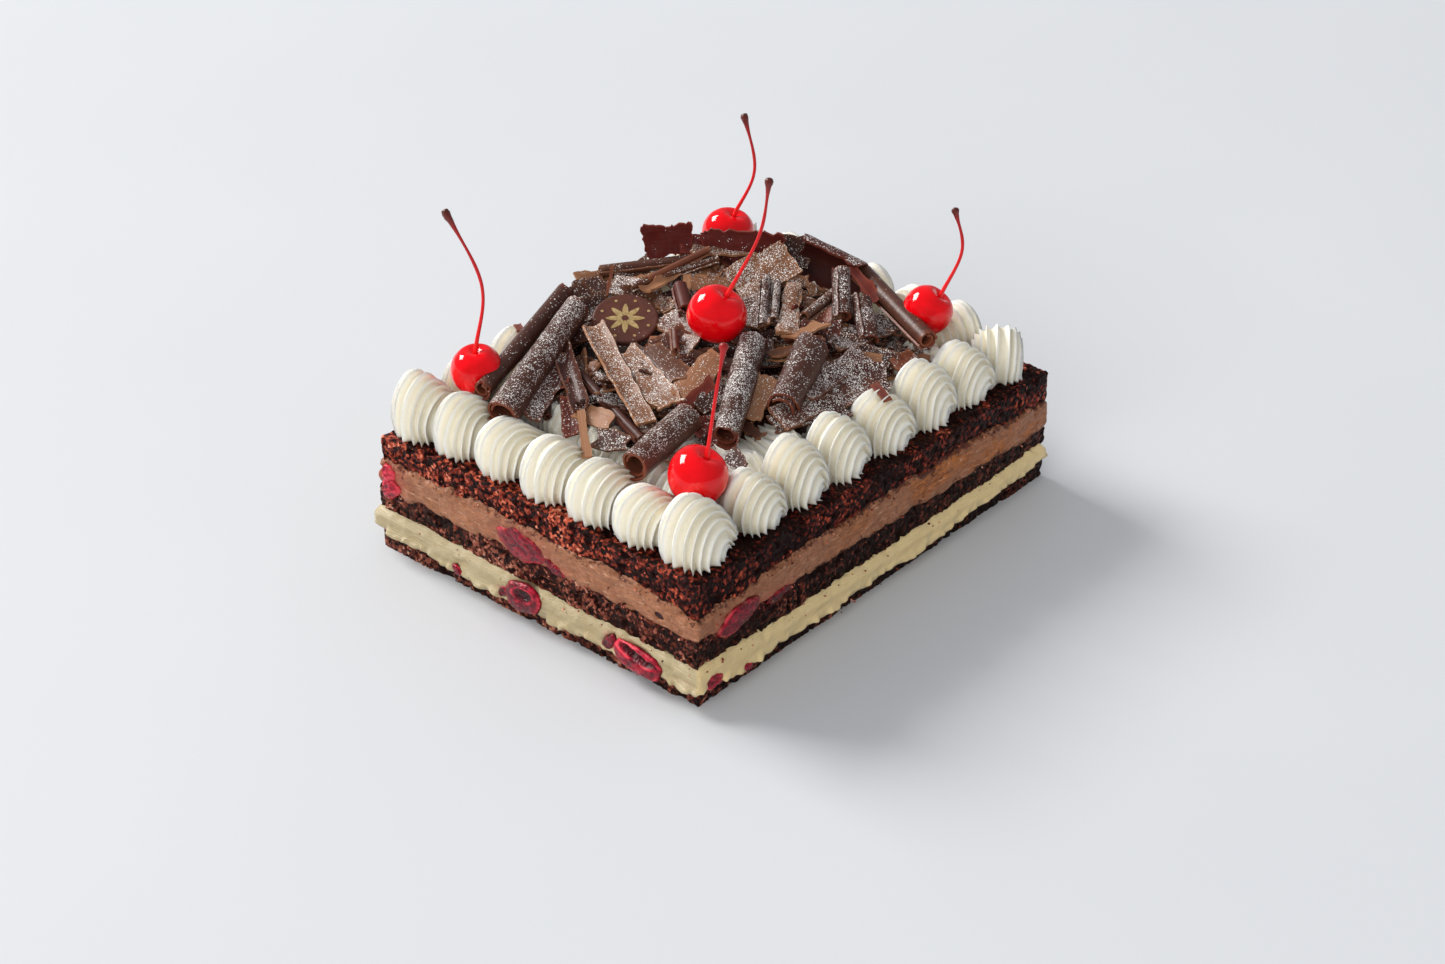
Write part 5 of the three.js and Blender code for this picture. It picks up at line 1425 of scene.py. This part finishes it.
def make_fruit():
    """Soft halves and scraps of cherry, cut through by the knife and pressed into the layers."""
    shape = Shape()
    for number, (way, knots, proud, dome, tone, *hollow) in enumerate(FRUIT_PIECES):
        flat, out, relief, share = fruit_surface(number, knots, dome, tone, hollow)
        middle, way = flat[-1], np.array(way, float)
        side = np.array([0, 1.0, 0] if way[0] else [1.0, 0, 0])
        half, reach = (HALF_X, HALF_Y) if way[0] else (HALF_Y, HALF_X)
        over = np.clip(np.abs(flat[:, 0]) - (reach - 1.2), 0, None)     # it wraps round the block's corner
        along = flat[:, 0] - np.sign(flat[:, 0]) * 0.8 * over
        proud = proud + (CREAM_STANDS if middle[1] < CREAM_TOP else MOUSSE_STANDS)
        out = half + proud + out - 0.9 * over
        points = along[:, None] * side + flat[:, [1]] * UP + out[:, None] * way
        back = middle[0] * side + middle[1] * UP + (half + proud - FRUIT_SUNK) * way
        faces = capped_tube(FRUIT_RINGS, FRUIT_COLUMNS)
        if (np.cross(side, UP) @ way > 0) != (signed_turn(knots) < 0):
            faces = [f[:, ::-1] for f in faces]
        shape.add(np.concatenate([points, [back]]), faces, relief=np.append(relief, tone),
                  smear=np.append((middle[1] > CREAM_TOP) * share ** 2, 0))
    place_piece("cherry_pieces", shape, FRUIT, "cherry", added=True)


def signed_turn(knots):
    """Positive where the knots run anticlockwise."""
    x, y = np.array(knots, float).T
    return float((x * np.roll(y, -1) - y * np.roll(x, -1)).sum())


# ---------- Crumbs ----------

CRUMB_CORNERS = np.array([[1, 0, 0], [-1, 0, 0], [0, 1, 0], [0, -1, 0], [0, 0, 1], [0, 0, -1]], float)
CRUMB_FACES = np.array([[0, 2, 4], [2, 1, 4], [1, 3, 4], [3, 0, 4], [2, 0, 5], [1, 2, 5], [3, 1, 5],
                        [0, 3, 5]])
CRUMBS = 520


def bits(places, sizes, rng, shape, **marks):
    """Small angular bits at the places."""
    count = len(places)
    spread = CRUMB_CORNERS[None] * rng.uniform(0.55, 1.25, (count, 6, 1))
    turn, _ = np.linalg.qr(rng.normal(0, 1, (count, 3, 3)))
    points = np.einsum("nij,njk->nik", spread, turn) * sizes[:, None, None] + places[:, None]
    flipped = np.linalg.det(turn) < 0
    faces = CRUMB_FACES[None] + 6 * np.arange(count)[:, None, None]
    faces[flipped] = faces[flipped][..., ::-1]
    shape.add(points.reshape(-1, 3), [faces.reshape(-1, 3)], **marks)


def make_side_crumbs():
    """Crumbs that the knife has drawn over the cream and mousse."""
    rng = np.random.default_rng(900)
    places, ways = outline(0.5)
    pick = rng.integers(0, len(places), CRUMBS)
    boundary = rng.choice([1, 2, 3, 4], CRUMBS, p=[0.2, 0.25, 0.25, 0.3])
    places, ways = places[pick], ways[pick]
    heights = np.choose(boundary, [boundary_height(index, *places.T) for index in range(5)])
    z = heights + rng.normal(0, 1.6, CRUMBS)
    proud = np.where(boundary <= 2, 2.5, 1.6) - rng.uniform(-0.3, 0.3, CRUMBS)
    beyond = np.clip(ways, 0, 1) * np.where(boundary[:, None] <= 2, [-0.4, 2.4], [2.2, 0.8])
    points = np.column_stack([places + ways * proud[:, None] + beyond, np.maximum(z, 0.8)])
    shape = Shape()
    bits(points, rng.uniform(0.2, 0.6, CRUMBS) * rng.uniform(0.6, 1.2, CRUMBS), rng, shape, relief=0.4)
    place_piece("side_crumbs", shape, SPONGE, "sponge", added=True)


# ---------- Everything ----------

FLOOR_HALF = 9000


def add_floor():
    shape = Shape()
    shape.add([[cu * FLOOR_HALF, cv * FLOOR_HALF, 0] for cu, cv in ((-1, -1), (1, -1), (1, 1), (-1, 1))],
              [np.array([[0, 1, 2, 3]])])
    mesh = shape.mesh("floor")
    mesh.materials.append(floor_finish())
    floor = bpy.data.objects.new("floor", mesh)
    bpy.context.scene.collection.objects.link(floor)


add_camera()
add_world()
add_floor()
add_area_light("window", azimuth=-173, elevation=37, size=(3.0, 2.3), power=420)
add_area_light("fill", azimuth=-76, elevation=26, size=(5.0, 3.0), power=190, mirrored=False)
bpy.context.scene.view_settings.view_transform = "Standard"

for layer_index in range(len(LAYERS)):
    make_layer(layer_index)
make_border()
make_cream_bed()
make_shards()
make_rolls()
make_plates()
make_plaque()
make_ornament()
make_cherries()
make_fruit()
make_side_crumbs()
